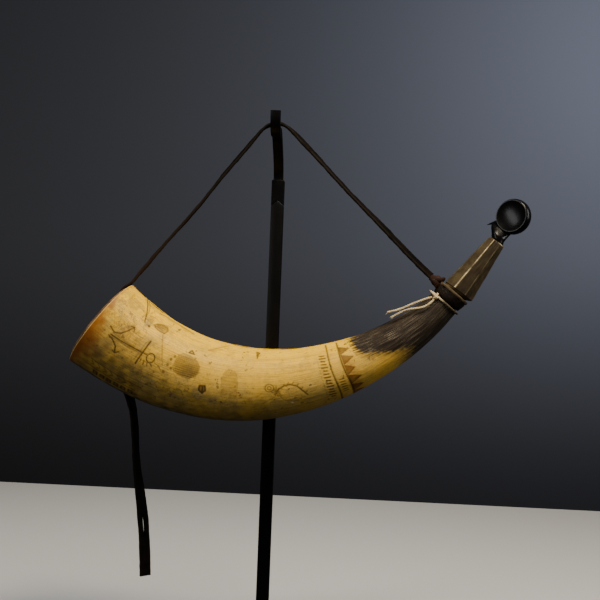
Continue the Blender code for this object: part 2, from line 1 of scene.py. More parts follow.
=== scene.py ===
"""A scrimshaw powder horn that hangs by its leather strap from the hook of a slim black stand.

Metres, +Z up. X runs from the horn's base to its spout and the engraved front faces -Y.
"""

import logging
import math
from dataclasses import dataclass
from enum import Enum, IntEnum
from typing import Any, Callable, Sequence

import bpy
import numpy as np
from mathutils import Matrix, Vector


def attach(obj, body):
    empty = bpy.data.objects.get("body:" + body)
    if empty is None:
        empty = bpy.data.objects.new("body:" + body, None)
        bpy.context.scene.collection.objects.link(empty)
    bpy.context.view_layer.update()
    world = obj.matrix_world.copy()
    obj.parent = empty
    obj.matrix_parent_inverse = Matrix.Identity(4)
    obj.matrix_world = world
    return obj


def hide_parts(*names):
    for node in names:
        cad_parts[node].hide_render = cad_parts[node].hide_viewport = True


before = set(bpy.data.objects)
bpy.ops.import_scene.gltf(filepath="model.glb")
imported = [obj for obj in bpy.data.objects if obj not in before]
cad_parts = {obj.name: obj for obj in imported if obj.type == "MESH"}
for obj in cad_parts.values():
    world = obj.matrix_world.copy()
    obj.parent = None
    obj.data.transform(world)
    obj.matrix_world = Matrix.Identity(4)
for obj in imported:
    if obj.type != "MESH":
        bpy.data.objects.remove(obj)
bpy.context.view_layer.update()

log = logging.getLogger("powder_horn")

BODY = "root"
MILLI = 0.001
CORD_FACING = (0.13, 0.99, 0.05)
THONG_WIDTH = 0.010
THONG_THICK = 0.0024
Point = tuple[float, ...]
Piece = bpy.types.Object
Material = bpy.types.Material


class Seed(IntEnum):
    """The start of each run of random numbers."""

    WILD = 3
    FINE = 4
    THREADS = 5
    SCRATCHES = 7
    WALL_BROAD = 11
    WALL_CLOSE = 12
    SCRAPED = 21
    WORN = 22
    STRAP = 31
    TAIL = 41
    BASE_KNOT = 51
    KNOT_TURN = 61
    LOWER_TURN = 71
    UPPER_TURN = 72
    THROAT_KNOT = 73
    UPPER_END = 81
    LOWER_END = 82
    SHORT_END = 83


# The shader's own arithmetic


class Signal:
    """One output of a shader node, which takes part in arithmetic."""

    def __init__(self, graph: "Graph", socket: bpy.types.NodeSocket) -> None:
        """Keeps the graph that the socket belongs to, so that sums can add their nodes to it."""
        self.graph = graph
        self.socket = socket

    def maths(self, operation: str, *values: Any, clamp: bool = False) -> "Signal":
        """Adds a Math node.

        Args:
            operation: The Math node's operation.
            values: Its inputs in order, numbers or signals.
            clamp: Whether the result is held between 0 and 1.

        Returns:
            The node's result.
        """
        settings = {"operation": operation, "use_clamp": clamp}
        return self.graph.node("ShaderNodeMath", settings, dict(enumerate(values)))

    def __add__(self, other: Any) -> "Signal":
        """The sum of two values."""
        return self.maths("ADD", self, other)

    __radd__ = __add__

    def __sub__(self, other: Any) -> "Signal":
        """This value less another."""
        return self.maths("SUBTRACT", self, other)

    def __rsub__(self, other: Any) -> "Signal":
        """Another value less this one."""
        return self.maths("SUBTRACT", other, self)

    def __mul__(self, other: Any) -> "Signal":
        """The product of two values."""
        return self.maths("MULTIPLY", self, other)

    __rmul__ = __mul__

    def held(self) -> "Signal":
        """The value held between 0 and 1."""
        return self.maths("ADD", self, 0.0, clamp=True)

    def rise(self, low: float, high: float) -> "Signal":
        """A smooth step from 0 at low to 1 at high."""
        settings = {"interpolation_type": "SMOOTHSTEP", "clamp": True}
        inputs = {"Value": self, "From Min": low, "From Max": high}
        return self.graph.node("ShaderNodeMapRange", settings, inputs, "Result")


class Graph:
    """The node graph of one material, with its Principled shader."""

    def __init__(self, name: str) -> None:
        """Makes the material."""
        self.material = bpy.data.materials.new(name)
        self.material.use_nodes = True
        self.tree = self.material.node_tree
        self.shader = self.tree.nodes["Principled BSDF"]

    def node(self, kind: str, settings: dict, inputs: dict, output: int | str = 0) -> Signal:
        """Adds one node.

        Args:
            kind: The node's type.
            settings: Its settings, set before its inputs; "stops" are a ramp's places and colours.
            inputs: Values or signals by the input's name or number.
            output: The name or number of the output that is wanted.

        Returns:
            That output.
        """
        made = self.tree.nodes.new(kind)
        for name, value in settings.items():
            if name == "stops":
                self.set_stops(made.color_ramp, value)
            else:
                setattr(made, name, value)
        for name, value in inputs.items():
            self.feed(made.inputs[name], value)
        return Signal(self, made.outputs[output])

    def feed(self, socket: bpy.types.NodeSocket, value: Any) -> None:
        """Links a signal to a socket, or sets a plain value on it."""
        if isinstance(value, Signal):
            self.tree.links.new(value.socket, socket)
        else:
            socket.default_value = value

    @staticmethod
    def set_stops(ramp: bpy.types.ColorRamp, stops: Sequence[tuple[float, Point]]) -> None:
        """Gives a colour ramp its stops."""
        while len(ramp.elements) < len(stops):
            ramp.elements.new(0.5)
        for element, (place, colour) in zip(ramp.elements, stops):
            element.position = place
            element.color = colour

    def mix(self, share: Any, first: Any, second: Any, blend: str = "MIX") -> Signal:
        """Mixes two colours by a share."""
        settings = {"data_type": "RGBA", "blend_type": blend}
        return self.node("ShaderNodeMix", settings, {0: share, 6: first, 7: second}, 2)

    def coats(self, base: Any, *coats: tuple[Any, str]) -> Any:
        """Lays coats of colour over a base, one after another.

        Args:
            base: The colour below.
            coats: The share of each coat, and the code of its colour.

        Returns:
            The colour on top.
        """
        for share, code in coats:
            base = self.mix(share, base, hue(code))
        return base

    def attribute(self, name: str) -> Signal:
        """Reads a number that the mesh holds at each point."""
        return self.node("ShaderNodeAttribute", {"attribute_name": name}, {}, "Fac")

    def place(self, stretch: Point = (1.0, 1.0, 1.0)) -> Signal:
        """Object coordinates, stretched along the axes."""
        spot = self.node("ShaderNodeTexCoord", {}, {}, "Object")
        return self.node("ShaderNodeMapping", {}, {"Vector": spot, "Scale": stretch})

    def along(self, stretch: Point) -> Signal:
        """The piece's own UV map, stretched along and around."""
        spot = self.node("ShaderNodeUVMap", {"uv_map": "UVMap"}, {})
        return self.node("ShaderNodeMapping", {}, {"Vector": spot, "Scale": stretch})

    def noise(self, spot: Signal, scale: float, detail: float = 4.0, rough: float = 0.55) -> Signal:
        """Soft random mottling from 0 to 1."""
        inputs = {"Vector": spot, "Scale": scale, "Detail": detail, "Roughness": rough}
        return self.node("ShaderNodeTexNoise", {}, {**inputs, "Lacunarity": 2.17}, 0)

    def bump(self, height: Signal, strength: float, distance: float) -> None:
        """Feeds a height to the shader's normal."""
        inputs = {"Height": height, "Strength": strength, "Distance": distance}
        self.feed(self.shader.inputs["Normal"], self.node("ShaderNodeBump", {}, inputs))

    def set(self, **values: Any) -> None:
        """Sets or links the shader's sockets, named with _ for a space."""
        for name, value in values.items():
            self.feed(self.shader.inputs[name.replace("_", " ")], value)


def hue(code: str) -> tuple[float, float, float, float]:
    """Turns a colour written as on a screen, such as E3BE6E, into the shader's linear values.

    Args:
        code: Six hexadecimal digits.

    Returns:
        Red, green, blue and a full alpha.
    """
    values = [int(code[i : i + 2], 16) / 255 for i in (0, 2, 4)]
    linear = [v / 12.92 if v <= 0.04045 else ((v + 0.055) / 1.055) ** 2.4 for v in values]
    return (linear[0], linear[1], linear[2], 1.0)


# Finishes


class Slot(Enum):
    """The names of the record's material slots for the pieces made here."""

    HORN = "horn"
    WOOD = "plug_wood"
    LEATHER = "leather"
    TWINE = "twine"
    BLACK = "stopper_black"
    STEEL = "black_steel"


class HornGraph(Graph):
    """The horn's node graph, with the noises that its colours share."""

    def __init__(self) -> None:
        """Adds streaks along the horn, and spots of three sizes."""
        super().__init__("scraped_horn")
        self.spot = self.place()
        self.grain = self.noise(self.along((6.0, 45.0, 1.0)), 4.0, 6.0, 0.62)
        self.fibre = self.noise(self.along((14.0, 110.0, 1.0)), 3.0, 4.0, 0.62)
        self.scrape = self.noise(self.along((3.0, 190.0, 1.0)), 3.0, 3.0, 0.6)
        self.cloud = self.noise(self.spot, 26.0, 4.0, 0.6)
        self.patch = self.noise(self.spot, 80.0, 6.0, 0.65)
        self.speckle = self.noise(self.spot, 420.0, 4.0, 0.6)


@dataclass(frozen=True)
class HornFinish:
    """Scraped cow horn: honey and cream, a painted golden highlight on top and painted shade below, dark
    at the throat, with inked engraving.
    """

    cream: str = "EFBE44"
    honey: str = "CFAF60"
    painted_highlight_gold: str = "F6C41C"
    tan: str = "8A7446"
    umber: str = "574628"
    painted_underside_shade: str = "281A0B"
    olive: str = "857748"
    grey: str = "8E8466"
    rust: str = "8C521F"
    haze: str = "E6CC86"
    wash: str = "503619"
    ink: str = "2E1C0B"
    pale: str = "EBD9AE"
    throat: str = "1A1511"
    throat_light: str = "463C30"
    scratch: str = "9C907A"
    spout: str = "2A2318"
    spout_light: str = "50452F"

    def wall(self, g: HornGraph) -> Signal:
        """The colour of the yellow wall: streaks, spots and pits, a painted highlight on top, painted
        shade below, with its stains.
        """
        bend = g.noise(g.spot, 60.0, 6.0, 0.7) - 0.5
        veins = 1.0 - bend.maths("ABSOLUTE", bend).rise(0.0, 0.024)
        pits = g.noise(g.spot, 250.0, 2.0, 0.5).rise(0.64, 0.70) * g.cloud.rise(0.40, 0.58)
        low, mottle = g.attribute("low"), g.attribute("mottle")
        body = g.coats(
            hue(self.cream),
            (g.cloud.rise(0.35, 0.68) * 0.8, self.honey),
            (g.patch.rise(0.30, 0.44) * -0.3 + 0.3, self.haze),
            # Painted highlight: a golden tint where the light falls on the top.
            (g.attribute("high") * 0.75, self.painted_highlight_gold),
            (g.patch.rise(0.50, 0.72) * 0.34, self.olive),
            (g.grain.rise(0.46, 0.80) * 0.42, self.tan),
            (g.scrape.rise(0.48, 0.64) * 0.55, self.tan),
            (mottle * g.patch.rise(0.46, 0.58) * 0.6, self.grey),
            (veins * (mottle * 0.6 + 0.14), self.umber),
            (g.attribute("grime") * (g.cloud * 0.8 + 0.35), self.umber),
            # Painted shade on the underside, darkest towards the bottom edge.
            (low * (g.patch * 0.5 + 0.6), self.umber),
            (low.rise(0.55, 1.0) * 0.85, self.painted_underside_shade),
            (g.speckle.rise(0.56, 0.78) * 0.34, self.umber),
            (g.fibre.rise(0.50, 0.66) * 0.34, self.umber),
            (pits * 0.7, self.umber),
        )
        # Painted highlight: the lit top takes the gold's hue.
        body = g.mix(g.attribute("high") * 0.7, body, hue(self.painted_highlight_gold), "COLOR")
        wash = (g.attribute("wash") * (g.patch * 1.3 + 0.3)).held()
        stain = (g.attribute("stain") * (g.patch * 1.1 + 0.45)).held()
        return g.coats(body, (wash, self.wash), (stain, self.rust))

    def dark_end(self, g: HornGraph) -> Signal:
        """The colour of the dark throat with its light flecks."""
        flecks = g.fibre.rise(0.54, 0.64) * g.patch.rise(0.40, 0.52) * g.attribute("flecks")
        light = (g.fibre.rise(0.40, 0.70), self.throat_light)
        return g.coats(hue(self.throat), light, (flecks, self.scratch))

    def scraped_spout(self, g: HornGraph) -> Signal:
        """The colour of the scraped spout, with painted shade on its lower flats."""
        light = (g.patch.rise(0.35, 0.65) * 0.6 + g.fibre * 0.4, self.spout_light)
        # Painted shade on the spout's lower flats, in the throat's near-black.
        under = g.attribute("low") * (g.cloud * 0.5 + 0.55)
        return g.coats(hue(self.spout), light, (under, self.throat))

    def material(self) -> Material:
        """Builds the horn's material."""
        g = HornGraph()
        body = g.mix(g.attribute("throat"), self.wall(g), self.dark_end(g))
        body = g.mix(g.attribute("spout"), body, self.scraped_spout(g))
        ink = (g.attribute("ink") * (g.speckle * 0.5 + 0.75)).held()
        body = g.coats(body, (g.attribute("pale") * (g.speckle * 0.8 + 0.5), self.pale), (ink, self.ink))
        rough = 0.36 + g.patch * 0.18 + ink * 0.2 + g.attribute("throat") * 0.2
        g.set(Base_Color=body, Roughness=rough, Specular_IOR_Level=0.14)
        fine = g.fibre * 0.6 + g.speckle * 0.5 + g.scrape
        g.bump(fine + g.attribute("throat") * g.fibre, 0.3, 0.00012)
        return g.material


@dataclass(frozen=True)
class WoodFinish:
    """A turned, worn wooden plug."""

    light: str = "7A5A36"
    dark: str = "3C2814"

    def material(self) -> Material:
        """Builds the wood's material."""
        g = Graph("turned_wood")
        rings = g.noise(g.place((40.0, 260.0, 40.0)), 1.0, 5.0, 0.6)
        pores = g.noise(g.place((300.0, 40.0, 300.0)), 3.0, 3.0)
        worn = (rings.rise(0.35, 0.65), self.dark)
        tone = g.coats(hue(self.light), worn, (pores.rise(0.62, 0.75) * 0.6, self.dark))
        g.set(Base_Color=tone, Roughness=0.55 + rings * 0.15)
        g.bump(rings + pores * 0.5, 0.3, 0.0002)
        return g.material


@dataclass(frozen=True)
class LeatherFinish:
    """Old strap leather, black-brown with rubbed edges."""

    dark: str
    brown: str
    rubbed: str
    warmth: float
    shine: float = 0.13

    def material(self, name: str) -> Material:
        """Builds the leather's material under a name."""
        g = Graph(name)
        spot = g.place()
        cloud = g.noise(spot, 90.0, 4.0, 0.6)
        flecks = g.noise(spot, 700.0, 5.0, 0.7)
        creases = g.noise(g.along((90.0, 6.0, 1.0)), 3.0, 4.0, 0.6)
        warm = (cloud.rise(0.35, 0.7) * self.warmth + g.attribute("warm") * 0.75).held()
        edges = g.attribute("rubbed") * (flecks * 0.7 + 0.2)
        spots = flecks.rise(0.55, 0.72) * 0.5
        tone = g.coats(hue(self.dark), (warm, self.brown), (spots, self.rubbed), (edges, self.rubbed))
        g.set(Base_Color=tone, Roughness=0.55 + flecks * 0.2, Specular_IOR_Level=self.shine)
        g.bump(creases * 0.6 + flecks * 0.6 + cloud * 0.5, 0.5, 0.0004)
        return g.material


@dataclass(frozen=True)
class TwineFinish:
    """Cream plied twine, a little soiled."""

    light: str = "E0CDA2"
    soiled: str = "A08D6A"
    # The colour of the painted shade under the horn's right side.
    dark: str = "2E261D"
    shaded: Point = (0.1340, 0.1395)

    def material(self) -> Material:
        """Builds the twine's material, with painted shade where it runs under the horn's right side."""
        g = Graph("plied_twine")
        cloud = g.noise(g.place(), 240.0, 4.0, 0.6)
        hairs = g.noise(g.along((60.0, 3.0, 1.0)), 30.0, 3.0, 0.7)
        # Painted shade: darkens the twine past the horn's right side.
        under = g.node("ShaderNodeSeparateXYZ", {}, {0: g.place()}, "X").rise(*self.shaded)
        soil = (cloud.rise(0.4, 0.75) * 0.8, self.soiled)
        tone = g.coats(hue(self.light), soil, (under * 0.9, self.dark))
        g.set(Base_Color=tone, Roughness=0.9, Specular_IOR_Level=0.2)
        g.bump(hairs + cloud, 0.5, 0.0002)
        return g.material


@dataclass(frozen=True)
class BlackFinish:
    """A near-black finish, glossy or satin."""

    name: str
    colour: str
    worn: str
    roughness: float
    metal: float = 0.0
    grain: float = 0.0
    shine: float = 0.2

    def material(self) -> Material:
        """Builds the finish's material."""
        g = Graph(self.name)
        cloud = g.noise(g.place(), 120.0, 4.0, 0.6)
        tone = g.mix(cloud.rise(0.3, 0.8) * 0.35, hue(self.colour), hue(self.worn))
        rough = cloud * 0.12 + (self.roughness - 0.06)
        g.set(Base_Color=tone, Roughness=rough, Specular_IOR_Level=self.shine, Metallic=self.metal)
        if self.grain:
            g.bump(g.noise(g.place(), 1400.0, 3.0, 0.6), self.grain, 0.0001)
        return g.material


# Making shapes


def clear_selection() -> None:
    """Deselects everything, so that an operator acts on the new piece alone."""
    if bpy.context.object and bpy.context.object.mode != "OBJECT":
        bpy.ops.object.mode_set(mode="OBJECT")
    bpy.ops.object.select_all(action="DESELECT")


def pick(piece: Piece) -> None:
    """Makes one object the only one selected, and the active one."""
    clear_selection()
    piece.select_set(True)
    bpy.context.view_layer.objects.active = piece


def in_edit(piece: Piece, select: str = "SELECT") -> None:
    """Opens a piece for editing with all of it selected, or none."""
    pick(piece)
    bpy.ops.object.mode_set(mode="EDIT")
    bpy.ops.mesh.select_all(action=select)


class Part(Enum):
    """What kind of thing an edit-mode selection picks."""

    POINT = (True, False, False)
    EDGE = (False, True, False)
    FACE = (False, False, True)


def choose(piece: Piece, kind: Part, wanted: Callable[[Any], bool]) -> None:
    """Opens a piece for editing with only some of its points, edges or faces selected.

    Args:
        piece: The piece.
        kind: What is picked.
        wanted: Says of each point, edge or face whether it is selected.
    """
    in_edit(piece, "DESELECT")
    bpy.context.tool_settings.mesh_select_mode = kind.value
    bpy.ops.object.mode_set(mode="OBJECT")
    mesh = piece.data
    groups = {Part.POINT: mesh.vertices, Part.EDGE: mesh.edges, Part.FACE: mesh.polygons}
    for item in groups[kind]:
        item.select = bool(wanted(item))
    bpy.ops.object.mode_set(mode="EDIT")


class Solid(Enum):
    """How one closed shape acts on another."""

    WELD = "UNION"
    CUT = "DIFFERENCE"


def work_in(piece: Piece, tool: Piece, how: Solid) -> None:
    """Welds a closed shape to a piece, or cuts it out of it, and removes that shape."""
    pick(piece)
    step = piece.modifiers.new("solid", "BOOLEAN")
    step.operation = how.value
    step.solver = "EXACT"
    step.object = tool
    bpy.ops.object.modifier_apply(modifier=step.name)
    bpy.data.objects.remove(tool)


def ends_of(mesh: bpy.types.Mesh, edge: bpy.types.MeshEdge) -> tuple[Vector, Vector]:
    """The places of an edge's two ends."""
    first, second = edge.vertices
    return mesh.vertices[first].co, mesh.vertices[second].co


def settle(piece: Piece, sharp: float = 40.0) -> Piece:
    """Closes the editing of a piece and shades its round faces smooth.

    Args:
        piece: The piece.
        sharp: The angle in degrees past which an edge stays sharp.

    Returns:
        The same piece, with its place in its mesh.
    """
    pick(piece)
    bpy.ops.object.transform_apply(location=True, rotation=True, scale=True)
    bpy.ops.object.shade_smooth_by_angle(angle=math.radians(sharp))
    return piece


def wrap(name: str, rings: np.ndarray, closed: bool = False, sharp: float = 40.0) -> Piece:
    """Makes a sheet of faces, lays it through rings of points and closes its seam.

    Args:
        name: The piece's name.
        rings: Rows of points; in each row the last point is the first one again. A last ring that
            is the first one again closes the sheet on itself.
        closed: Whether both ends are closed by a face.
        sharp: The angle past which an edge stays sharp.

    Returns:
        The piece.
    """
    rows, columns = rings.shape[:2]
    clear_selection()
    bpy.ops.mesh.primitive_grid_add(x_subdivisions=columns - 1, y_subdivisions=rows - 1, size=1.0)
    piece = bpy.context.object
    piece.name = name
    mesh = piece.data
    flat = np.empty(len(mesh.vertices) * 3)
    mesh.vertices.foreach_get("co", flat)
    flat = flat.reshape(-1, 3)
    column = np.rint((flat[:, 0] + 0.5) * (columns - 1)).astype(int)
    row = np.rint((flat[:, 1] + 0.5) * (rows - 1)).astype(int)
    mesh.vertices.foreach_set("co", rings[row, column].ravel())
    hold(piece, "row", row)
    hold(piece, "column", column)
    stretch_uv(piece, rings)
    in_edit(piece)
    bpy.ops.mesh.remove_doubles(threshold=1e-7)
    if closed:
        bpy.ops.mesh.select_all(action="SELECT")
        bpy.ops.mesh.fill_holes(sides=0)
    bpy.ops.mesh.select_all(action="SELECT")
    bpy.ops.mesh.normals_make_consistent(inside=False)
    bpy.ops.object.mode_set(mode="OBJECT")
    return settle(piece, sharp)


def stretch_uv(piece: Piece, rings: np.ndarray) -> None:
    """Gives a wrapped sheet a UV map: metres along its length, and the share of the way round."""
    reach = reaches(rings.mean(axis=1))
    steps = np.linalg.norm(np.diff(rings, axis=1), axis=2).mean(axis=0)
    round_ = np.concatenate([[0.0], np.cumsum(steps)]) / max(steps.sum(), 1e-9)
    layer = piece.data.uv_layers.active.data
    flat = np.empty(len(layer) * 2)
    layer.foreach_get("uv", flat)
    flat = flat.reshape(-1, 2)
    column = np.rint(flat[:, 0] * (rings.shape[1] - 1)).astype(int)
    row = np.rint(flat[:, 1] * (rings.shape[0] - 1)).astype(int)
    layer.foreach_set("uv", np.stack([reach[row], round_[column]], axis=1).ravel())


def hold(piece: Piece, name: str, values: np.ndarray) -> None:
    """Writes a number for each point of a mesh, for its material to read."""
    layer = piece.data.attributes.get(name) or piece.data.attributes.new(name, "FLOAT", "POINT")
    layer.data.foreach_set("value", np.asarray(values, float).ravel())


def held(piece: Piece, name: str) -> np.ndarray:
    """Reads back the numbers that a mesh holds at its points."""
    layer = piece.data.attributes[name].data
    values = np.empty(len(layer))
    layer.foreach_get("value", values)
    return values


def join(name: str, pieces: Sequence[Piece]) -> Piece:
    """Joins parts of one thing into one piece."""
    clear_selection()
    for part in pieces:
        part.select_set(True)
    bpy.context.view_layer.objects.active = pieces[0]
    bpy.ops.object.join()
    pieces[0].name = name
    return pieces[0]


def dress(piece: Piece, slot: Slot, material: Material, *nodes: str) -> Piece:
    """Gives a piece its material, makes it ride and hides the solids that it stands for.

    Args:
        piece: The piece.
        slot: Not used.
        material: Its material.
        nodes: The CAD nodes that it replaces.

    Returns:
        The piece.
    """
    piece.data.materials.clear()
    piece.data.materials.append(material)
    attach(piece, BODY)
    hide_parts(*nodes)
    log.info("%s: %d faces", piece.name, len(piece.data.polygons))
    return piece


def steps_of(points: np.ndarray) -> np.ndarray:
    """The distances from each point of a line to the next."""
    return np.linalg.norm(np.diff(points[:, :3], axis=0), axis=1)


def reaches(points: np.ndarray) -> np.ndarray:
    """How far along a line each of its points lies."""
    return np.concatenate([[0.0], np.cumsum(steps_of(points))])


def heading(points: np.ndarray) -> np.ndarray:
    """The direction that a line of points runs at its end."""
    way = points[-1] - points[-3]
    return way / np.linalg.norm(way)


def smooth_route(route: Sequence[Point], spacing: float) -> np.ndarray:
    """Points on the natural cubic spline through a route's own points.

    Args:
        route: The route, each point with three numbers and perhaps a fourth, such as a twist.
        spacing: About how far apart the points are.

    Returns:
        The points as rows.
    """
    given = np.array(route, float)
    runs, at = steps_of(given), reaches(given)
    count = len(given)
    system = np.eye(count)
    wanted = np.zeros_like(given)
    for i in range(1, count - 1):
        before, after = runs[i - 1], runs[i]
        system[i, i - 1 : i + 2] = before, 2 * (before + after), after
        wanted[i] = 6 * ((given[i + 1] - given[i]) / after - (given[i] - given[i - 1]) / before)
    bend = np.linalg.solve(system, wanted)
    places = np.linspace(0.0, at[-1], round(at[-1] / spacing) + 1)
    i = np.clip(np.searchsorted(at, places, side="right") - 1, 0, count - 2)
    ahead = (at[i + 1] - places)[:, None]
    behind = (places - at[i])[:, None]
    run = runs[i][:, None]
    curved = (ahead**3 * bend[i] + behind**3 * bend[i + 1]) / (6 * run)
    start = (given[i] / run - bend[i] * run / 6) * ahead
    end = (given[i + 1] / run - bend[i + 1] * run / 6) * behind
    return curved + start + end


def carried(points: np.ndarray, facing: Point) -> tuple[np.ndarray, np.ndarray, np.ndarray]:
    """Directions along a route, facing out and across it, carried along without turning.

    Args:
        points: The route's points.
        facing: The way it faces at its start.

    Returns:
        The directions along, facing and across, a row for each point.
    """
    along = np.gradient(points, axis=0)
    along /= np.linalg.norm(along, axis=1)[:, None]
    face = np.array(facing, float)
    faces = []
    for direction in along:
        face = face - direction * float(face @ direction)
        face = face / np.linalg.norm(face)
        faces.append(face)
    out = np.array(faces)
    return along, out, np.cross(along, out)


def tube(
    name: str, points: np.ndarray, radii: np.ndarray, sides: int, closed: bool = True
) -> Piece:
    """A round cord of changing thickness through points."""
    _, face, across = carried(points, CORD_FACING)
    turns = np.linspace(0.0, 2 * math.pi, sides + 1)[None, :, None]
    ring = face[:, None] * np.cos(turns) + across[:, None] * np.sin(turns)
    return wrap(name, points[:, None] + ring * radii[:, None, None], closed=closed)


class CordEnd(Enum):
    """What a cord's far end is."""

    TIED = "object"
    FREE = "bare"


class Lay(Enum):
    """How a cord lies."""

    HANGING = "hanging"
    LOOSE = "loose"


def declare_cord(
    route: Sequence[Point],
    spacing: float,
) -> None:
    """Works out the points of a cord's path from its route, and does nothing more with them.

    Args:
        route: The cord's route.
        spacing: How far apart the points of its path are.
    """
    path = smooth_route(route, spacing)[:, :3]


def ripple(first: np.ndarray, second: np.ndarray, seed: int, count: int = 14) -> np.ndarray:
    """A smooth random field from about -1 to 1 with waves about one unit long.

    Args:
        first: One coordinate.
        second: The other coordinate.
        seed: The start of the random numbers.
        count: How many waves are summed.

    Returns:
        The field's value at each place.
    """
    chance = np.random.default_rng(seed)
    total = np.zeros(np.broadcast(first, second).shape)
    for _ in range(count):
        way = chance.uniform(0, math.pi)
        pace = chance.uniform(0.5, 1.7) * 2 * math.pi
        phase = chance.uniform(0, 2 * math.pi)
        total += np.cos(pace * (first * math.cos(way) + second * math.sin(way)) + phase)
    return total / math.sqrt(count)


# The horn


@dataclass(frozen=True)
class HornCurve:
    """The horn's middle line and radius, with its throat and spout."""

    y: float = -0.015
    base_x: float = -0.1345
    base_z: float = 0.2594
    length: float = 0.3053
    slopes: Point = (-36.9, -17.5, 7.3, 27.8, 49.2)
    radii: Point = (0.0394, 0.0334, 0.0275, 0.0198, 0.0121)
    rim_wall: float = 0.0032
    neck_length: float = 0.0113
    neck_slope: float = 51.7
    spout_gap: float = 0.0018
    spout_drop: float = 0.0027
    spout_slope: float = 54.9
    spout_length: float = 0.0500
    spout_foot: float = 0.0255
    spout_end: float = 0.0136
    spout_bore: float = 0.0072
    steps: int = 1200

    @staticmethod
    def through(values: Point, share: np.ndarray) -> np.ndarray:
        """The smooth curve through values that stand at equal shares from 0 to 1."""
        last = len(values) - 1
        total = np.zeros(np.shape(share))
        for i, value in enumerate(values):
            weight = np.ones(np.shape(share))
            for j in range(last + 1):
                if j != i:
                    weight = weight * (np.asarray(share) * last - j) / (i - j)
            total = total + value * weight
        return total

    @staticmethod
    def sloped(degrees: np.ndarray) -> tuple[np.ndarray, np.ndarray]:
        """The direction along a slope in the horn's plane, and the one square to it."""
        slope = np.radians(degrees)
        zero = np.zeros(np.shape(slope))
        along = np.stack([np.cos(slope), zero, np.sin(slope)], axis=-1)
        up = np.stack([-np.sin(slope), zero, np.cos(slope)], axis=-1)
        return along, up

    def radius(self, share: np.ndarray) -> np.ndarray:
        """The horn's outer radius at a share of its length."""
        return self.through(self.radii, share)

    def cavity(self, share: np.ndarray) -> np.ndarray:
        """The inside's radius at a share of its length."""
        throat_wall = self.radii[-1] - self.spout_bore / 2
        return self.radius(share) - self.rim_wall - (throat_wall - self.rim_wall) * share**2

    def place(self, share: np.ndarray) -> tuple[np.ndarray, np.ndarray, np.ndarray]:
        """The middle of the horn at shares of its length, with the directions along and up."""
        share = np.asarray(share, float)
        fine = (np.arange(self.steps) + 0.5) / self.steps
        step, _ = self.sloped(self.through(self.slopes, fine))
        reach = np.concatenate([np.zeros((1, 3)), np.cumsum(step, axis=0)])
        reach = reach * self.length / self.steps
        base = np.array([self.base_x, self.y, self.base_z])
        at = np.linspace(0.0, 1.0, self.steps + 1)
        middle = np.stack([np.interp(share, at, reach[:, k]) for k in range(3)], axis=-1) + base
        along, up = self.sloped(self.through(self.slopes, share))
        return middle, along, up

    def neck(self, distance: float) -> tuple[np.ndarray, np.ndarray, np.ndarray]:
        """The middle of the throat's groove at a distance from its start."""
        along, up = self.sloped(np.array(self.neck_slope))
        return self.place(1.0)[0] + along * distance, along, up

    def spout(self, distance: float) -> tuple[np.ndarray, np.ndarray, np.ndarray]:
        """The middle of the spout at a distance from its foot."""
        foot, _, up = self.neck(self.neck_length + self.spout_gap)
        along, spout_up = self.sloped(np.array(self.spout_slope))
        return foot - up * self.spout_drop + along * distance, along, spout_up

    def base(self, up_by: float, back_by: float, out_by: float) -> np.ndarray:
        """A point on the base: up its face, towards the back, and out from the rim's plane."""
        middle, along, up = self.place(0.0)
        return middle + up * up_by + np.array([0.0, back_by, 0.0]) - along * out_by


HORN = HornCurve()


@dataclass(frozen=True)
class Cut:
    """One engraved stroke: its points in mm along the horn and degrees from its top."""

    points: tuple[Point, ...]
    width: float = 0.55
    depth: float = 1.0
    filled: float = 0.0


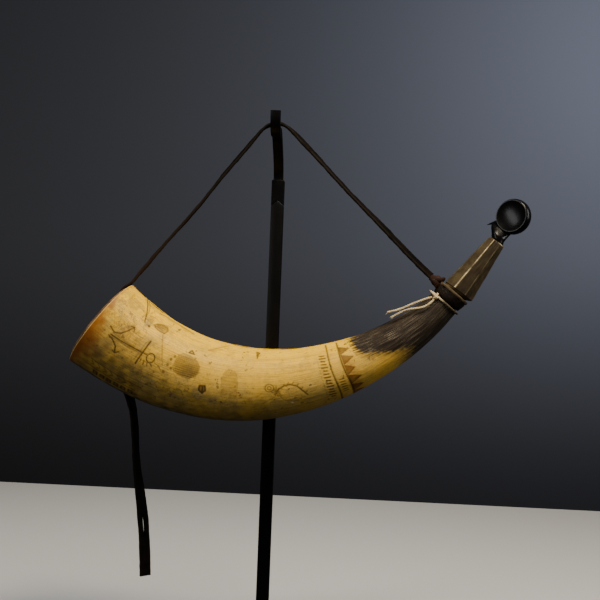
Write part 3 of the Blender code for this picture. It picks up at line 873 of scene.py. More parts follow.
class Engraving:
    """The horn's engraved figures, drawn afresh as plain traditional ones in the places they had."""

    SCRATCH_COUNT = 60

    def __init__(self) -> None:
        """Starts with an empty list of cuts and its own run of random numbers."""
        self.cuts: list[Cut] = []
        self.chance = np.random.default_rng(Seed.SCRATCHES)

    def cut(self, *points: Point, width: float = 0.55, depth: float = 1.0, filled: float = 0.0) -> None:
        """Adds one stroke."""
        self.cuts.append(Cut(tuple(points), width, depth, filled))

    def around(self, at: Point, size: Point, turns: Point, **look: float) -> None:
        """Adds an arc round a point.

        Args:
            at: The middle, in mm along and degrees from the top.
            size: The half sizes along, in mm, and around, in degrees.
            turns: The first and last angle in degrees.
            look: The stroke's width, depth and fill.
        """
        angles = np.radians(np.linspace(turns[0], turns[1], 19))
        ring = [(at[0] + size[0] * math.cos(a), at[1] + size[1] * math.sin(a)) for a in angles]
        self.cut(*ring, **look)

    def anchor(self) -> None:
        """A plain anchor with its stock and ring, left of the middle."""
        self.cut((17.0, 86.0), (27.0, 85.3), (38.0, 84.0), (49.0, 83.2), width=1.0)
        self.cut((17.5, 83.0), (28.0, 82.8), (38.0, 82.5), width=0.5, depth=0.6)
        self.cut((13.5, 79.0), (18.0, 81.5), (22.5, 78.5), (26.0, 71.0), (29.0, 62.0), width=0.9)
        self.cut((16.0, 88.0), (20.5, 90.0), (25.0, 94.5), (27.0, 102.0), width=0.9)
        self.cut((26.0, 63.5), (29.0, 62.0), (30.5, 67.0), width=0.7)
        self.cut((24.5, 100.5), (27.0, 102.0), (29.5, 98.0), width=0.7)
        self.cut((46.6, 66.0), (45.6, 83.0), (44.6, 100.0), width=1.1)
        self.around((53.2, 85.0), (3.2, 6.0), (0, 360), width=0.8)
        for lean in (-3.5, -1.0, 1.5, 4.0):
            self.cut((50.5 + lean, 91.0), (51.5 + lean * 1.3, 98.0 - abs(lean)), width=0.6, depth=0.9)
        self.cut((18.0, 88.0), (30.0, 87.0), (43.0, 85.5), width=0.5, depth=0.6)
        self.cut((44.0, 70.0), (43.2, 84.0), (42.4, 97.0), width=0.5, depth=0.5)
        self.cut((20.5, 74.0), (25.0, 66.0), width=0.5, depth=0.5)
        self.cut((56.5, 87.0), (61.0, 90.0), (66.0, 96.0), width=0.45, depth=0.5)

    def leaf(self) -> None:
        """A leaf on a long thin stem."""
        edge = ((40.5, 43.0), (43.5, 37.5), (48.0, 34.0), (52.5, 34.5), (54.5, 40.0), (53.0, 47.0))
        edge += ((48.5, 47.5), (44.0, 46.0), (40.5, 43.0))
        self.cut(*edge, width=0.6, depth=0.8, filled=0.5)
        for lean in (-2.2, 0.0, 2.2):
            self.cut((44.0, 41.0 + lean), (50.5, 40.0 + lean * 1.8), width=0.4, depth=0.5)
        self.cut((52.3, 49.0), (55.5, 60.0), (59.0, 71.0), (64.0, 87.0), width=0.4, depth=0.5)
        self.around((38.0, 49.0), (0.7, 1.2), (0, 360), width=0.8)

    def basket(self) -> None:
        """An oval basket filled with cross hatching, with small marks above and beside it."""
        rim = ((72.6, 65.0), (75.6, 61.0), (82.6, 61.0), (88.6, 64.0), (92.6, 71.0), (93.1, 79.0))
        rim += ((91.1, 87.0), (86.1, 92.0), (78.6, 91.0), (73.6, 88.0), (71.6, 83.0), (71.9, 74.0))
        rim += ((72.6, 65.0),)
        self.cut(*rim, width=0.6, depth=0.35, filled=0.42)
        for i in range(10):
            t = 63.5 + 2.8 * i
            half = 9.6 * math.sqrt(max(0.1, 1 - ((t - 76.5) / 15.5) ** 2))
            self.cut((82.4 - half, t + 1), (82.4 + half, t), width=0.4, depth=0.35 + 0.045 * i)
        for i in range(12):
            s = 74.0 + 1.55 * i
            half = 14.0 * math.sqrt(max(0.1, 1 - ((s - 82.4) / 10.5) ** 2))
            self.cut((s, 76.5 - half), (s + 0.5, 76.5 + half), width=0.4, depth=0.35)
        self.cut((79.8, 57.0), (81.8, 51.5), (85.0, 56.5), (79.8, 57.0), width=0.8, filled=0.5)
        for spot in ((68.3, 75.0), (70.3, 69.5), (67.5, 83.5), (71.0, 86.0), (66.5, 94.0)):
            self.around(spot, (0.6, 1.2), (0, 360), width=0.9, depth=0.75)

    def buildings(self) -> None:
        """A small shield and a faint hatched doorway with a round top."""
        shield = ((95.8, 97.5), (100.2, 96.0), (101.0, 103.0), (98.8, 108.0), (96.0, 104.0))
        shield += ((95.8, 97.5),)
        self.cut(*shield, width=0.9, filled=0.7)
        self.cut((98.3, 98.0), (98.8, 106.0), width=0.5)
        door = ((113.0, 107.0), (112.0, 90.0), (112.2, 78.0), (114.0, 69.0), (118.0, 65.5))
        door += ((122.5, 69.0), (124.8, 78.0), (125.0, 92.0), (124.3, 107.0))
        self.cut(*door, width=0.6, depth=0.12, filled=0.32)
        for i in range(7):
            self.cut((113.5, 74.0 + 5 * i), (123.5, 75.0 + 5 * i), width=0.35, depth=0.16)

    def wreath(self) -> None:
        """A scroll, a bundle of short strokes and two curved sprigs, the upper one thick and dark."""
        self.around((149.4, 94.0), (3.3, 6.2), (30, 400), width=0.6, depth=0.75)
        self.around((149.4, 94.0), (1.4, 2.8), (0, 360), width=0.5, depth=0.7)
        for k in range(11):
            way = math.radians(33 * k + 8)
            tip = (154.6 + (2.6 + k % 2) * math.cos(way), 101.0 + (6.5 + k % 3) * math.sin(way))
            self.cut((154.6, 101.0), tip, width=0.5, depth=0.75)
        top = ((156.0, 98.0), (160.7, 93.0), (165.7, 92.0), (170.7, 97.0), (174.2, 107.0))
        top += ((177.2, 117.0),)
        low = ((156.0, 106.0), (157.5, 112.0), (160.5, 119.5), (166.0, 123.5), (172.0, 122.0))
        for sprig, side, width, depth in ((top, -1, 1.0, 0.85), (low, 1, 0.6, 0.45)):
            self.cut(*sprig, width=width, depth=depth)
            curve = smooth_route([(s, t / 3, 0.0) for s, t in sprig], 1.9)
            for k, (s, t, _) in enumerate(curve[1:-1]):
                lean = side * (3.4 if k % 2 else -2.2)
                self.cut((s, t * 3), (s + 1.5, t * 3 + lean), width=0.7, depth=depth * 0.8)

    def marks(self) -> None:
        """Loose wedges, scratches, the crack near the rim and the stained line along the top."""
        wedge = ((138.6, 24.0), (142.0, 27.0), (139.8, 43.0), (138.6, 24.0))
        self.cut(*wedge, width=0.8, depth=0.6, filled=0.8)
        self.cut((95.6, 42.0), (100.6, 36.0), (106.0, 27.0), (112.1, 16.0), width=1.5, depth=0.5)
        self.cut((96.5, 43.0), (102.0, 38.5), (107.5, 33.0), width=0.7, depth=0.5)
        crack = ((13.5, -6.0), (19.5, 5.0), (25.0, 21.0), (29.5, 35.0), (32.5, 47.0))
        self.cut(*crack, width=1.1, depth=0.9)
        self.cut((16.0, -8.0), (22.0, 5.0), (27.0, 19.0), (30.5, 33.0), width=0.7, depth=0.7)
        self.cut((38.0, 15.0), (44.0, 11.0), (58.0, 10.0), (76.0, 17.0), width=1.6, depth=0.7)
        self.cut((47.0, 16.0), (60.0, 14.5), (70.0, 19.0), width=1.0, depth=0.4)
        self.cut((145.0, 12.0), (153.0, 9.5), (161.0, 9.0), (170.0, 11.0), width=1.2, depth=0.7)
        for _ in range(self.SCRATCH_COUNT):
            s, t = self.chance.uniform(4, 190), self.chance.uniform(20, 160)
            ds, dt = self.chance.normal(0, 5), self.chance.normal(0, 6)
            self.cut((s, t), (s + ds, t + dt), width=0.34, depth=self.chance.uniform(0.12, 0.38))

    def strip(self) -> None:
        """The narrow strip of lines and small shapes along the lower left."""
        self.cut((15.0, 126.5), (25.0, 127.0), (40.0, 128.0), (56.0, 130.0), width=0.6, depth=0.75)
        self.cut((13.0, 138.0), (25.0, 138.5), (40.0, 139.0), (52.0, 140.0), width=0.6, depth=0.75)
        for i in range(7):
            at = 16.0 + 5.2 * i
            self.cut((at, 129.0), (at + 2.4, 132.5), (at, 136.0), width=0.7, depth=0.7)
        for i in range(6):
            at = 20.0 + 5.5 * i
            tile = ((at, 144.0), (at + 3.0, 144.5), (at + 3.0, 153.0), (at, 152.0), (at, 144.0))
            self.cut(*tile, filled=0.6)

    def lines_and_border(self) -> None:
        """Two lines round the horn and a border of points beyond the second."""
        for s, width in ((200.3, 1.1), (209.8, 1.25)):
            ring = [(s + 0.5 * math.sin(t / 17.0), float(t)) for t in range(18, 175, 6)]
            self.cut(*ring, width=width, depth=0.9)
        for i in range(6):
            t = 38.0 + 22.5 * i
            tall = 8.0 + 1.2 * math.sin(i * 2.4)
            points = ((210.5, t), (211.0 + tall, t + 12.0), (210.5, t + 22.0))
            self.cut(*points, width=0.6, depth=0.5, filled=0.85)

    def inscription(self) -> None:
        """Two rows of plain slanting ticks that stand in the inscription's place and say nothing."""
        for i in range(15):
            t = 50.0 + 6.4 * i
            tall = 1.9 + 0.6 * math.sin(i * 2.1)
            self.cut((195.0 - tall, t), (195.0 + tall, t + 1.6), width=0.95, depth=0.95)
        for i in range(15):
            t = 53.0 + 6.3 * i
            self.cut((190.6, t), (190.9, t + 2.6), width=0.4, depth=0.35)
        for i in range(6):
            t = 108.0 + 6.0 * i
            self.cut((203.2, t), (206.6, t + 0.8), width=0.8, depth=0.8)

    def all_cuts(self) -> list[Cut]:
        """Draws every figure and returns the cuts."""
        figures = (self.anchor, self.leaf, self.basket, self.buildings, self.wreath, self.marks)
        for draw in (*figures, self.strip, self.lines_and_border, self.inscription):
            draw()
        return self.cuts


class HornMap:
    """Points of the horn's outer wall, in mm and degrees, and the colouring that they have."""

    TONGUE_TURNS = (-20, 30, 54, 69, 88, 104, 112, 129, 163, 200)
    TONGUE_EDGES = (226, 221, 222, 224, 232, 243, 251, 257, 252, 246)
    LEAST_STROKE = 0.42

    def __init__(self, curve: HornCurve, share: np.ndarray, turn: np.ndarray) -> None:
        """Places the points.

        Args:
            curve: The horn's middle line and radius.
            share: The share of the horn's length at each point.
            turn: The turn from its top, in degrees.
        """
        self.curve = curve
        self.turn = (turn + 90.0) % 360.0 - 90.0
        self.along = share * curve.length / MILLI
        self.span = np.radians(self.turn) * curve.radius(share) / MILLI
        self.wild = ripple(self.along / 9, self.span / 9, Seed.WILD)
        self.fine = ripple(self.along / 3, self.span / 3, Seed.FINE)

    def spot(self, at: Point, size: Point) -> np.ndarray:
        """A soft patch with its middle and half sizes in mm along and degrees round."""
        far = ((self.along - at[0]) / size[0]) ** 2
        return np.exp(-far - ((self.turn - at[1]) / size[1]) ** 2)

    def stroke(self, cut: Cut) -> tuple[np.ndarray, np.ndarray]:
        """How deep one stroke is at each point, and the fill of its outline there.

        Args:
            cut: The stroke.

        Returns:
            The depth and the fill, each from 0 to 1.
        """
        spots = np.array(cut.points, float)
        radius = self.curve.radius(spots[:, 0] * MILLI / self.curve.length) / MILLI
        spots = np.stack([spots[:, 0], np.radians(spots[:, 1]) * radius], axis=1)
        nearest = np.full(self.along.shape, 1e9)
        inside = np.zeros(self.along.shape, bool)
        for (x0, y0), (x1, y1) in zip(spots, spots[1:]):
            dx, dy = x1 - x0, y1 - y0
            share = ((self.along - x0) * dx + (self.span - y0) * dy) / (dx * dx + dy * dy + 1e-9)
            share = np.clip(share, 0, 1)
            away = np.hypot(self.along - x0 - share * dx, self.span - y0 - share * dy)
            nearest = np.minimum(nearest, away)
        for (x0, y0), (x1, y1) in zip(spots, np.roll(spots, -1, axis=0)):
            if cut.filled and abs(y1 - y0) > 1e-9:
                crosses = (y0 > self.span) != (y1 > self.span)
                inside ^= crosses & (self.along < x0 + (self.span - y0) * (x1 - x0) / (y1 - y0))
        reach = max(0.62 * cut.width, self.LEAST_STROKE)
        return np.exp(-((nearest / reach) ** 2)) * cut.depth, np.where(inside, cut.filled, 0.0)

    def engraved(self) -> tuple[np.ndarray, np.ndarray]:
        """The depth of all strokes together, and the tone that fills their outlines."""
        ink, wash = np.zeros(self.along.shape), np.zeros(self.along.shape)
        for cut in Engraving().all_cuts():
            depth, fill = self.stroke(cut)
            ink, wash = np.maximum(ink, depth), np.maximum(wash, fill)
        return ink, np.clip(wash, 0, 1)

    def stain(self) -> np.ndarray:
        """Rusty stains: a band along the rim, a few blots, and the border of points."""
        reach = 2.2 + 10.5 * np.exp(-(((self.turn - 112) / 36) ** 2)) + 1.3 * self.wild
        rim = np.interp(self.turn, (10, 75), (0.4, 0.95))
        rim = rim * np.exp(-np.clip(self.along / np.clip(reach, 1.0, None), 0, 4) ** 2.2)
        blots = self.spot((26, 70), (9, 14)) * np.clip(0.3 + 0.5 * self.fine, 0, 1)
        border = 0.6 * np.exp(-(((self.along - 214) / 4.5) ** 2))
        border = border * np.clip((self.turn - 50) / 40, 0, 1) * np.clip(0.75 + 0.35 * self.fine, 0, 1)
        return np.clip(np.maximum.reduce([rim, 0.5 * blots, border]), 0, 1)

    def grime(self) -> np.ndarray:
        """Soiling below the anchor and under the middle of the horn."""
        soiled = 0.9 * self.spot((22, 116), (44, 42)) + 0.3 * self.spot((110, 140), (60, 30))
        return np.clip(soiled, 0, 1) * (0.75 + 0.25 * np.clip(self.wild, -1, 1))

    def throat(self) -> np.ndarray:
        """The dark throat, whose threaded edge leaves a yellow tongue low on the front."""
        threads = ripple(self.along / 30, self.turn / 5.5, Seed.THREADS)
        tongue = np.interp(self.turn, self.TONGUE_TURNS, self.TONGUE_EDGES)
        soft = np.interp(self.turn, (60, 90), (5.0, 17.0))
        return np.clip((self.along - tongue - 3.0 * threads - 2.0 * self.fine) / soft + 0.5, 0, 1)

    def flecks(self) -> np.ndarray:
        """Light flecks on the throat, most of them at its start."""
        some = 0.25 + 0.9 * self.spot((246, 68), (16, 22)) + 0.3 * self.spot((290, 50), (14, 30))
        return np.clip(some, 0, 1)

    def high(self) -> np.ndarray:
        """Painted highlight: the golden tint of the lit top of the horn."""
        upper = np.clip((100.0 - self.turn) / 60, 0, 1) * (self.turn > -60)
        return upper * np.clip(self.wild * 0.15 + 0.85, 0, 1)

    def low(self) -> np.ndarray:
        """Painted shade on the underside, lighter towards the throat."""
        lighter = np.interp(self.along, (0, 100, 180, 260), (1.0, 0.84, 0.25, 0.25))
        return np.clip((self.turn - 108 + 9 * self.wild) / 70, 0, 1) * (self.turn < 230) * lighter

    def pale(self) -> np.ndarray:
        """One small pale chip below the wreath."""
        away = np.hypot(self.along - 165.2, self.span - np.radians(130) * 25.5)
        return np.clip(1.4 - away / 0.9, 0, 1)

    def masks(self) -> dict[str, np.ndarray]:
        """All the masks by name, each from 0 to 1."""
        ink, wash = self.engraved()
        mottle = self.spot((24, 50), (30, 34)) + 0.7 * self.spot((75, 115), (60, 25))
        return {
            "ink": ink,
            "wash": wash,
            "stain": self.stain(),
            "mottle": np.clip(mottle, 0, 1),
            # high: painted highlight, a golden tint on the lit top
            "high": self.high(),
            "grime": self.grime(),
            "throat": self.throat(),
            "flecks": self.flecks(),
            # low: painted shade on the underside
            "low": self.low(),
            "pale": self.pale(),
        }


class Skin:
    """The rings of the horn's closed skin, with the masks of their points."""

    # Of these, high is a painted highlight on the top and low is painted shade.
    MASKS = ("ink", "wash", "stain", "mottle", "high", "grime")
    MASKS += ("throat", "flecks", "low", "pale", "spout")

    def __init__(self, turns: np.ndarray) -> None:
        """Starts a skin with its columns at these turns, in degrees from the top."""
        self.turns = turns
        self.rings: list[np.ndarray] = []
        self.masks: dict[str, list[np.ndarray]] = {name: [] for name in self.MASKS}

    def add(self, place: tuple, reach: Any, **marks: Any) -> None:
        """Adds one ring.

        Args:
            place: The ring's middle, with the directions along and up there.
            reach: Its radius, one number or one for each column.
            marks: Its masks, each one number or one for each column.
        """
        middle, along, up = place
        way = np.radians(self.turns)
        out = up * np.cos(way)[:, None] + np.cross(along, up) * np.sin(way)[:, None]
        self.rings.append(middle + out * np.broadcast_to(reach, way.shape)[:, None])
        for name, rows in self.masks.items():
            rows.append(np.broadcast_to(marks.get(name, 0.0), way.shape))

    def close(self) -> None:
        """Puts the last ring before the first too, so that the skin closes on itself."""
        for rows in (self.rings, *self.masks.values()):
            rows.insert(0, rows[-1])


@dataclass
class HornBody:
    """The whole horn: rim, engraved wall, throat, scraped spout, bore and hollow inside."""

    curve: HornCurve = HORN
    lip: float = 0.0007
    fine_columns: int = 178
    coarse_columns: int = 26
    fine_step: float = 0.00060
    fine_share: float = 0.728
    plain_rings: int = 50
    hollow_rings: int = 15
    cut_depth: float = 0.00013
    neck_rings: tuple[Point, ...] = (
        (0.0004, 0.0108),
        (0.0009, 0.0102),
        (0.0060, 0.0101),
        (0.0110, 0.0102),
    )

    def columns(self) -> np.ndarray:
        """The turns of the columns in degrees from the top, close together on the front."""
        front = np.linspace(4.0, 182.0, self.fine_columns, endpoint=False)
        back = np.linspace(182.0, 364.0, self.coarse_columns)
        return np.concatenate([front, back])

    def outer_shares(self) -> np.ndarray:
        """The shares of the outer wall's rings, close together where it is engraved."""
        step = self.fine_step / self.curve.length
        fine = np.arange(self.lip / self.curve.length, self.fine_share, step)
        return np.concatenate([fine, np.linspace(self.fine_share, 1.0, self.plain_rings)])

    def add_rim(self, skin: Skin) -> None:
        """Adds the rim's rounded edge to the skin."""
        for turn in (-60.0, -30.0):
            reach = self.curve.radius(0.0) - self.lip * (1 - math.cos(math.radians(turn)))
            depth = self.lip * (1 + math.sin(math.radians(turn))) / self.curve.length
            skin.add(self.curve.place(depth), reach, stain=0.1, pale=0.2)

    def add_wall(self, skin: Skin) -> None:
        """Adds the outer wall, a little uneven, with the strokes cut into it."""
        share, turn = np.meshgrid(self.outer_shares(), skin.turns, indexing="ij")
        marks = HornMap(self.curve, share, turn).masks()
        whole = self.curve.length / MILLI
        along, span = share * self.curve.length / MILLI, turn * 0.5
        uneven = 0.00016 * ripple(along / 45, span / 45, Seed.WALL_BROAD)
        uneven = uneven + 0.00004 * ripple(along / 9, span / 5, Seed.WALL_CLOSE)
        fade = np.clip(along / 4, 0, 1) * np.clip((whole - along) / 6, 0, 1)
        reach = self.curve.radius(share) + uneven * fade - self.cut_depth * marks["ink"]
        for i, at in enumerate(share[:, 0]):
            skin.add(self.curve.place(at), reach[i], **{name: mark[i] for name, mark in marks.items()})

    def add_spout(self, skin: Skin) -> None:
        """Adds the throat's groove and the spout: eight scraped flats, the tip, and the bore."""
        curve, turns = self.curve, skin.turns
        for distance, radius in self.neck_rings:
            skin.add(curve.neck(distance), radius, throat=1.0)
        from_flat = (turns + 22.5) % 45.0 - 22.5
        flats = 1 / np.cos(np.radians(np.clip(np.abs(from_flat), 0, 21.2)))
        taper = (curve.spout_foot - curve.spout_end) / curve.spout_length
        # Pale line on the arris at turn 67.5: a painted highlight where the light catches that edge; the
        # faint pale on the other arrises is wear.
        edge = np.exp(-(((np.abs(from_flat) - 22.5) / 2.2) ** 2))
        edge = edge * np.where(np.abs(turns - 67.5) < 12, 1.0, 0.12)
        # Painted shade: the front and lower flats of the spout are darkened, carried in the low mask.
        shade = np.where(turns > 67.5, 0.75, 0.0) * np.where(turns > 112.5, 0.25, 1.0)
        half = curve.spout_foot / 2
        skin.add(curve.spout(0.0), (half - self.lip) * flats, spout=1.0, throat=0.6)
        body = np.linspace(0.002, curve.spout_length - 0.0008, 30)
        for distance in np.concatenate([[0.0006], body]):
            across = (curve.spout_foot - taper * distance) / 2
            at = np.full(turns.shape, distance / 0.011)
            scraped = 0.00010 * ripple(at, turns / 16, Seed.SCRAPED)
            wear = float(ripple(np.array(distance / 0.006), np.array(0.3), Seed.WORN))
            worn = np.clip(edge * (0.55 + 0.35 * wear), 0, 1)
            skin.add(curve.spout(distance), across * flats + scraped, spout=1.0, pale=worn, low=shade)
        chipped = 0.85 * np.exp(-(((turns - 128) / 16) ** 2))
        end, half = curve.spout_length, curve.spout_end / 2
        for back, inset in ((0.0002, 0.0003), (0.0, 0.0008)):
            skin.add(curve.spout(end - back), (half - inset) * flats, spout=1.0, pale=chipped)
        for distance in (end, 0.0):
            skin.add(curve.spout(distance), curve.spout_bore / 2, throat=1.0)

    def add_hollow(self, skin: Skin) -> None:
        """Adds the inside from the throat back to the rim, and the rim's flat face."""
        curve = self.curve
        for share in np.linspace(1.0, 0.0, self.hollow_rings):
            # low=0.6 paints shade over the hollow inside.
            skin.add(curve.place(share), curve.cavity(share), stain=0.4, low=0.6)
        skin.add(curve.place(0.0), curve.cavity(0.0) + 0.0004, stain=0.6)
        skin.add(curve.place(0.0), curve.radius(0.0) - self.lip, stain=0.7)

    def build(self) -> Piece:
        """Builds the horn's skin with its masks."""
        skin = Skin(self.columns())
        for step in (self.add_rim, self.add_wall, self.add_spout, self.add_hollow):
            step(skin)
        skin.close()
        piece = wrap("horn_skin", np.array(skin.rings), sharp=32.0)
        row = np.rint(held(piece, "row")).astype(int)
        column = np.rint(held(piece, "column")).astype(int)
        for name, rows in skin.masks.items():
            hold(piece, name, np.array(rows)[row, column])
        return dress(piece, Slot.HORN, HornFinish().material(), "horn_body")


@dataclass
class BasePlug:
    """The turned plug with a rounded lip and a low dome."""

    curve: HornCurve = HORN
    gap: float = 0.0003
    depth: float = 0.012
    lip: float = 0.0022
    dome: float = 0.0032
    round_: float = 0.0020
    sides: int = 96
    dome_steps: tuple[Point, ...] = ((0.004, 0.3), (0.006, 0.3), (0.008, 0.25), (0.009, 0.15))

    def build(self) -> Piece:
        """Builds the plug from a cylinder whose outer face is inset and drawn out."""
        middle, along, up = self.curve.place(0.0)
        radius = float(self.curve.cavity(0.0)) - self.gap
        clear_selection()
        long = self.depth + self.lip
        bpy.ops.mesh.primitive_cylinder_add(vertices=self.sides, radius=radius, depth=long)
        piece = bpy.context.object
        piece.name = "turned_plug"
        choose(piece, Part.FACE, lambda face: face.normal.z > 0.9)
        bpy.ops.mesh.bevel(offset=self.round_, segments=4, affect="EDGES")
        choose(piece, Part.FACE, lambda face: face.normal.z > 0.99 and len(face.vertices) == self.sides)
        for inset, share in self.dome_steps:
            bpy.ops.mesh.inset(thickness=inset, depth=0.0)
            bpy.ops.transform.translate(value=(0.0, 0.0, (self.dome - self.lip) * share))
        bpy.ops.object.mode_set(mode="OBJECT")
        axes = Matrix((Vector(up), Vector((0, 1, 0)), Vector(-along))).transposed().to_4x4()
        centre = Vector(middle) + Vector(along) * (self.depth - long / 2)
        piece.data.transform(Matrix.Translation(centre) @ axes)
        in_edit(piece)
        bpy.ops.mesh.normals_make_consistent(inside=False)
        bpy.ops.object.mode_set(mode="OBJECT")
        return dress(settle(piece, 30.0), Slot.WOOD, WoodFinish().material(), "base_plug")

    @staticmethod
    def dress_staple() -> None:
        """Gives the staple in the plug, whose solid is shown as it is, its forged iron."""
        iron = BlackFinish("forged_iron", "1D1917", "3A2A20", 0.6, metal=0.5, grain=0.5).material()
        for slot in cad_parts["strap_staple"].material_slots:
            slot.material = iron


# The thong


STRAP_ROUTE: tuple[Point, ...] = (
    (0.1285, -0.0150, 0.3068, 24),
    (0.1122, -0.0146, 0.3216, 22),
    (0.0923, -0.0138, 0.3411, 20),
    (0.0595, -0.0122, 0.3725, 12),
    (0.0276, -0.0098, 0.4053, 15),
    (0.0170, -0.0090, 0.4158, 14),
    (0.0056, -0.0085, 0.4245, 3),
    (0.0000, -0.0085, 0.4256, 0),
    (-0.0048, -0.0085, 0.4244, 0),
    (-0.0093, -0.0085, 0.4217, 6),
    (-0.0181, -0.0085, 0.4118, 14),
    (-0.0391, -0.0085, 0.3855, 15),
    (-0.0595, -0.0086, 0.3580, 6),
    (-0.0904, -0.0088, 0.3208, 12),
    (-0.1026, -0.0090, 0.3055, 14),
    (-0.1096, -0.0090, 0.2967, 10),
    (-0.1133, -0.0090, 0.2923, 6),
    (-0.1165, -0.0086, 0.2897, 0),
    (-0.1200, -0.0076, 0.2860, 0),
    (-0.1250, -0.0050, 0.2798, 0),
    (-0.1299, -0.0013, 0.2735, 0),
    (-0.1336, 0.0025, 0.2687, 0),
    (-0.1365, 0.0060, 0.2652, 0),
)
TAIL_ROUTE: tuple[Point, ...] = (
    (-0.1433, 0.0154, 0.2581, 0),
    (-0.1444, 0.0202, 0.2543, 0),
    (-0.1441, 0.0246, 0.2503, 0),
    (-0.1418, 0.0262, 0.2455, 0),
    (-0.1376, 0.0269, 0.2376, 0),
    (-0.1312, 0.0270, 0.2256, 0),
    (-0.1241, 0.0258, 0.2120, 5),
    (-0.1165, 0.0238, 0.1962, 18),
    (-0.1111, 0.0230, 0.1684, 26),
    (-0.1091, 0.0230, 0.1446, 26),
    (-0.1050, 0.0230, 0.1185, 8),
    (-0.1012, 0.0230, 0.0919, -10),
    (-0.0988, 0.0230, 0.0632, -8),
    (-0.0980, 0.0230, 0.0490, -6),
)


@dataclass
class Knot:
    """A knot of folded thong: a lumpy core with two turns of thong drawn tight round it.

    Its axes are its long, wide and high directions, and its halves are its half sizes along them.
    Puff is how thick its turns are against the flat thong, and warm is how reddish its leather is.
    """

    name: str
    middle: np.ndarray
    axes: tuple[np.ndarray, np.ndarray, np.ndarray]
    halves: Point
    seed: int
    puff: float = 0.62
    warm: float = 0.0
    core_share: float = 0.92
    turns: tuple[Point, ...] = ((24.0, -0.30), (-38.0, 0.34))

    def core(self) -> Piece:
        """The lumpy middle of the knot."""
        clear_selection()
        bpy.ops.mesh.primitive_uv_sphere_add(segments=28, ring_count=18, radius=1.0)
        core = bpy.context.object
        spots = np.array([v.co[:] for v in core.data.vertices])
        swell = 0.90 + 0.07 * ripple(spots[:, 0] * 1.3, spots[:, 1] * 1.3 + spots[:, 2], self.seed)
        placed = np.zeros(spots.shape)
        for k, (half, axis) in enumerate(zip(self.halves, self.axes)):
            placed += np.outer(spots[:, k] * swell * half * self.core_share, axis)
        core.data.vertices.foreach_set("co", (self.middle + placed).ravel())
        return settle(core, 60.0)

    def turn(self, lean: float, shift: float, seed: int) -> Piece:
        """One turn of thong round the core.

        Args:
            lean: How far the turn leans from square, in degrees.
            shift: How far it lies from the middle, as a share of the half length.
            seed: The start of its random numbers.

        Returns:
            The part.
        """
        long, wide, high = self.axes
        half_long, half_wide, half_high = self.halves
        slope = math.tan(math.radians(lean))
        angles = np.linspace(0, 2 * math.pi, 49)[:-1]
        points, outs = [], []
        for a in angles:
            run = shift * half_long + slope * math.sin(a) * half_wide * 0.6
            share = math.sqrt(max(0.15, 1 - (run / half_long) ** 2))
            out = wide * math.cos(a) * half_wide + high * math.sin(a) * half_high
            points.append(self.middle + long * run + out * share * 0.93)
            outs.append(out / np.linalg.norm(out))
        points, outs = np.array(points), np.array(outs)
        along = np.roll(points, -1, axis=0) - np.roll(points, 1, axis=0)
        along /= np.linalg.norm(along, axis=1)[:, None]
        across = np.cross(along, outs)
        across /= np.linalg.norm(across, axis=1)[:, None]
        round_ = np.linspace(0, 2 * math.pi, 21)[None, :, None]
        wide_by = np.cos(round_) * THONG_WIDTH * 0.24
        thick_by = np.sin(round_) * THONG_THICK * 0.5 * self.puff
        wave = 1 + 0.06 * ripple(angles[:, None], angles[:, None] * 0, seed)[..., None]
        rings = points[:, None] + across[:, None] * (wide_by * wave) + outs[:, None] * thick_by
        rings = np.concatenate([rings, rings[:1]])
        return wrap(f"{self.name}_turn", rings, sharp=60.0)

    def build(self) -> Piece:
        """Builds the knot as one undressed piece."""
        parts = [self.core()]
        for number, (lean, shift) in enumerate(self.turns):
            parts.append(self.turn(lean, shift, Seed.KNOT_TURN + number))
        piece = join(self.name, parts)
        count = len(piece.data.vertices)
        hold(piece, "rubbed", np.zeros(count))
        hold(piece, "warm", np.full(count, self.warm))
        return piece


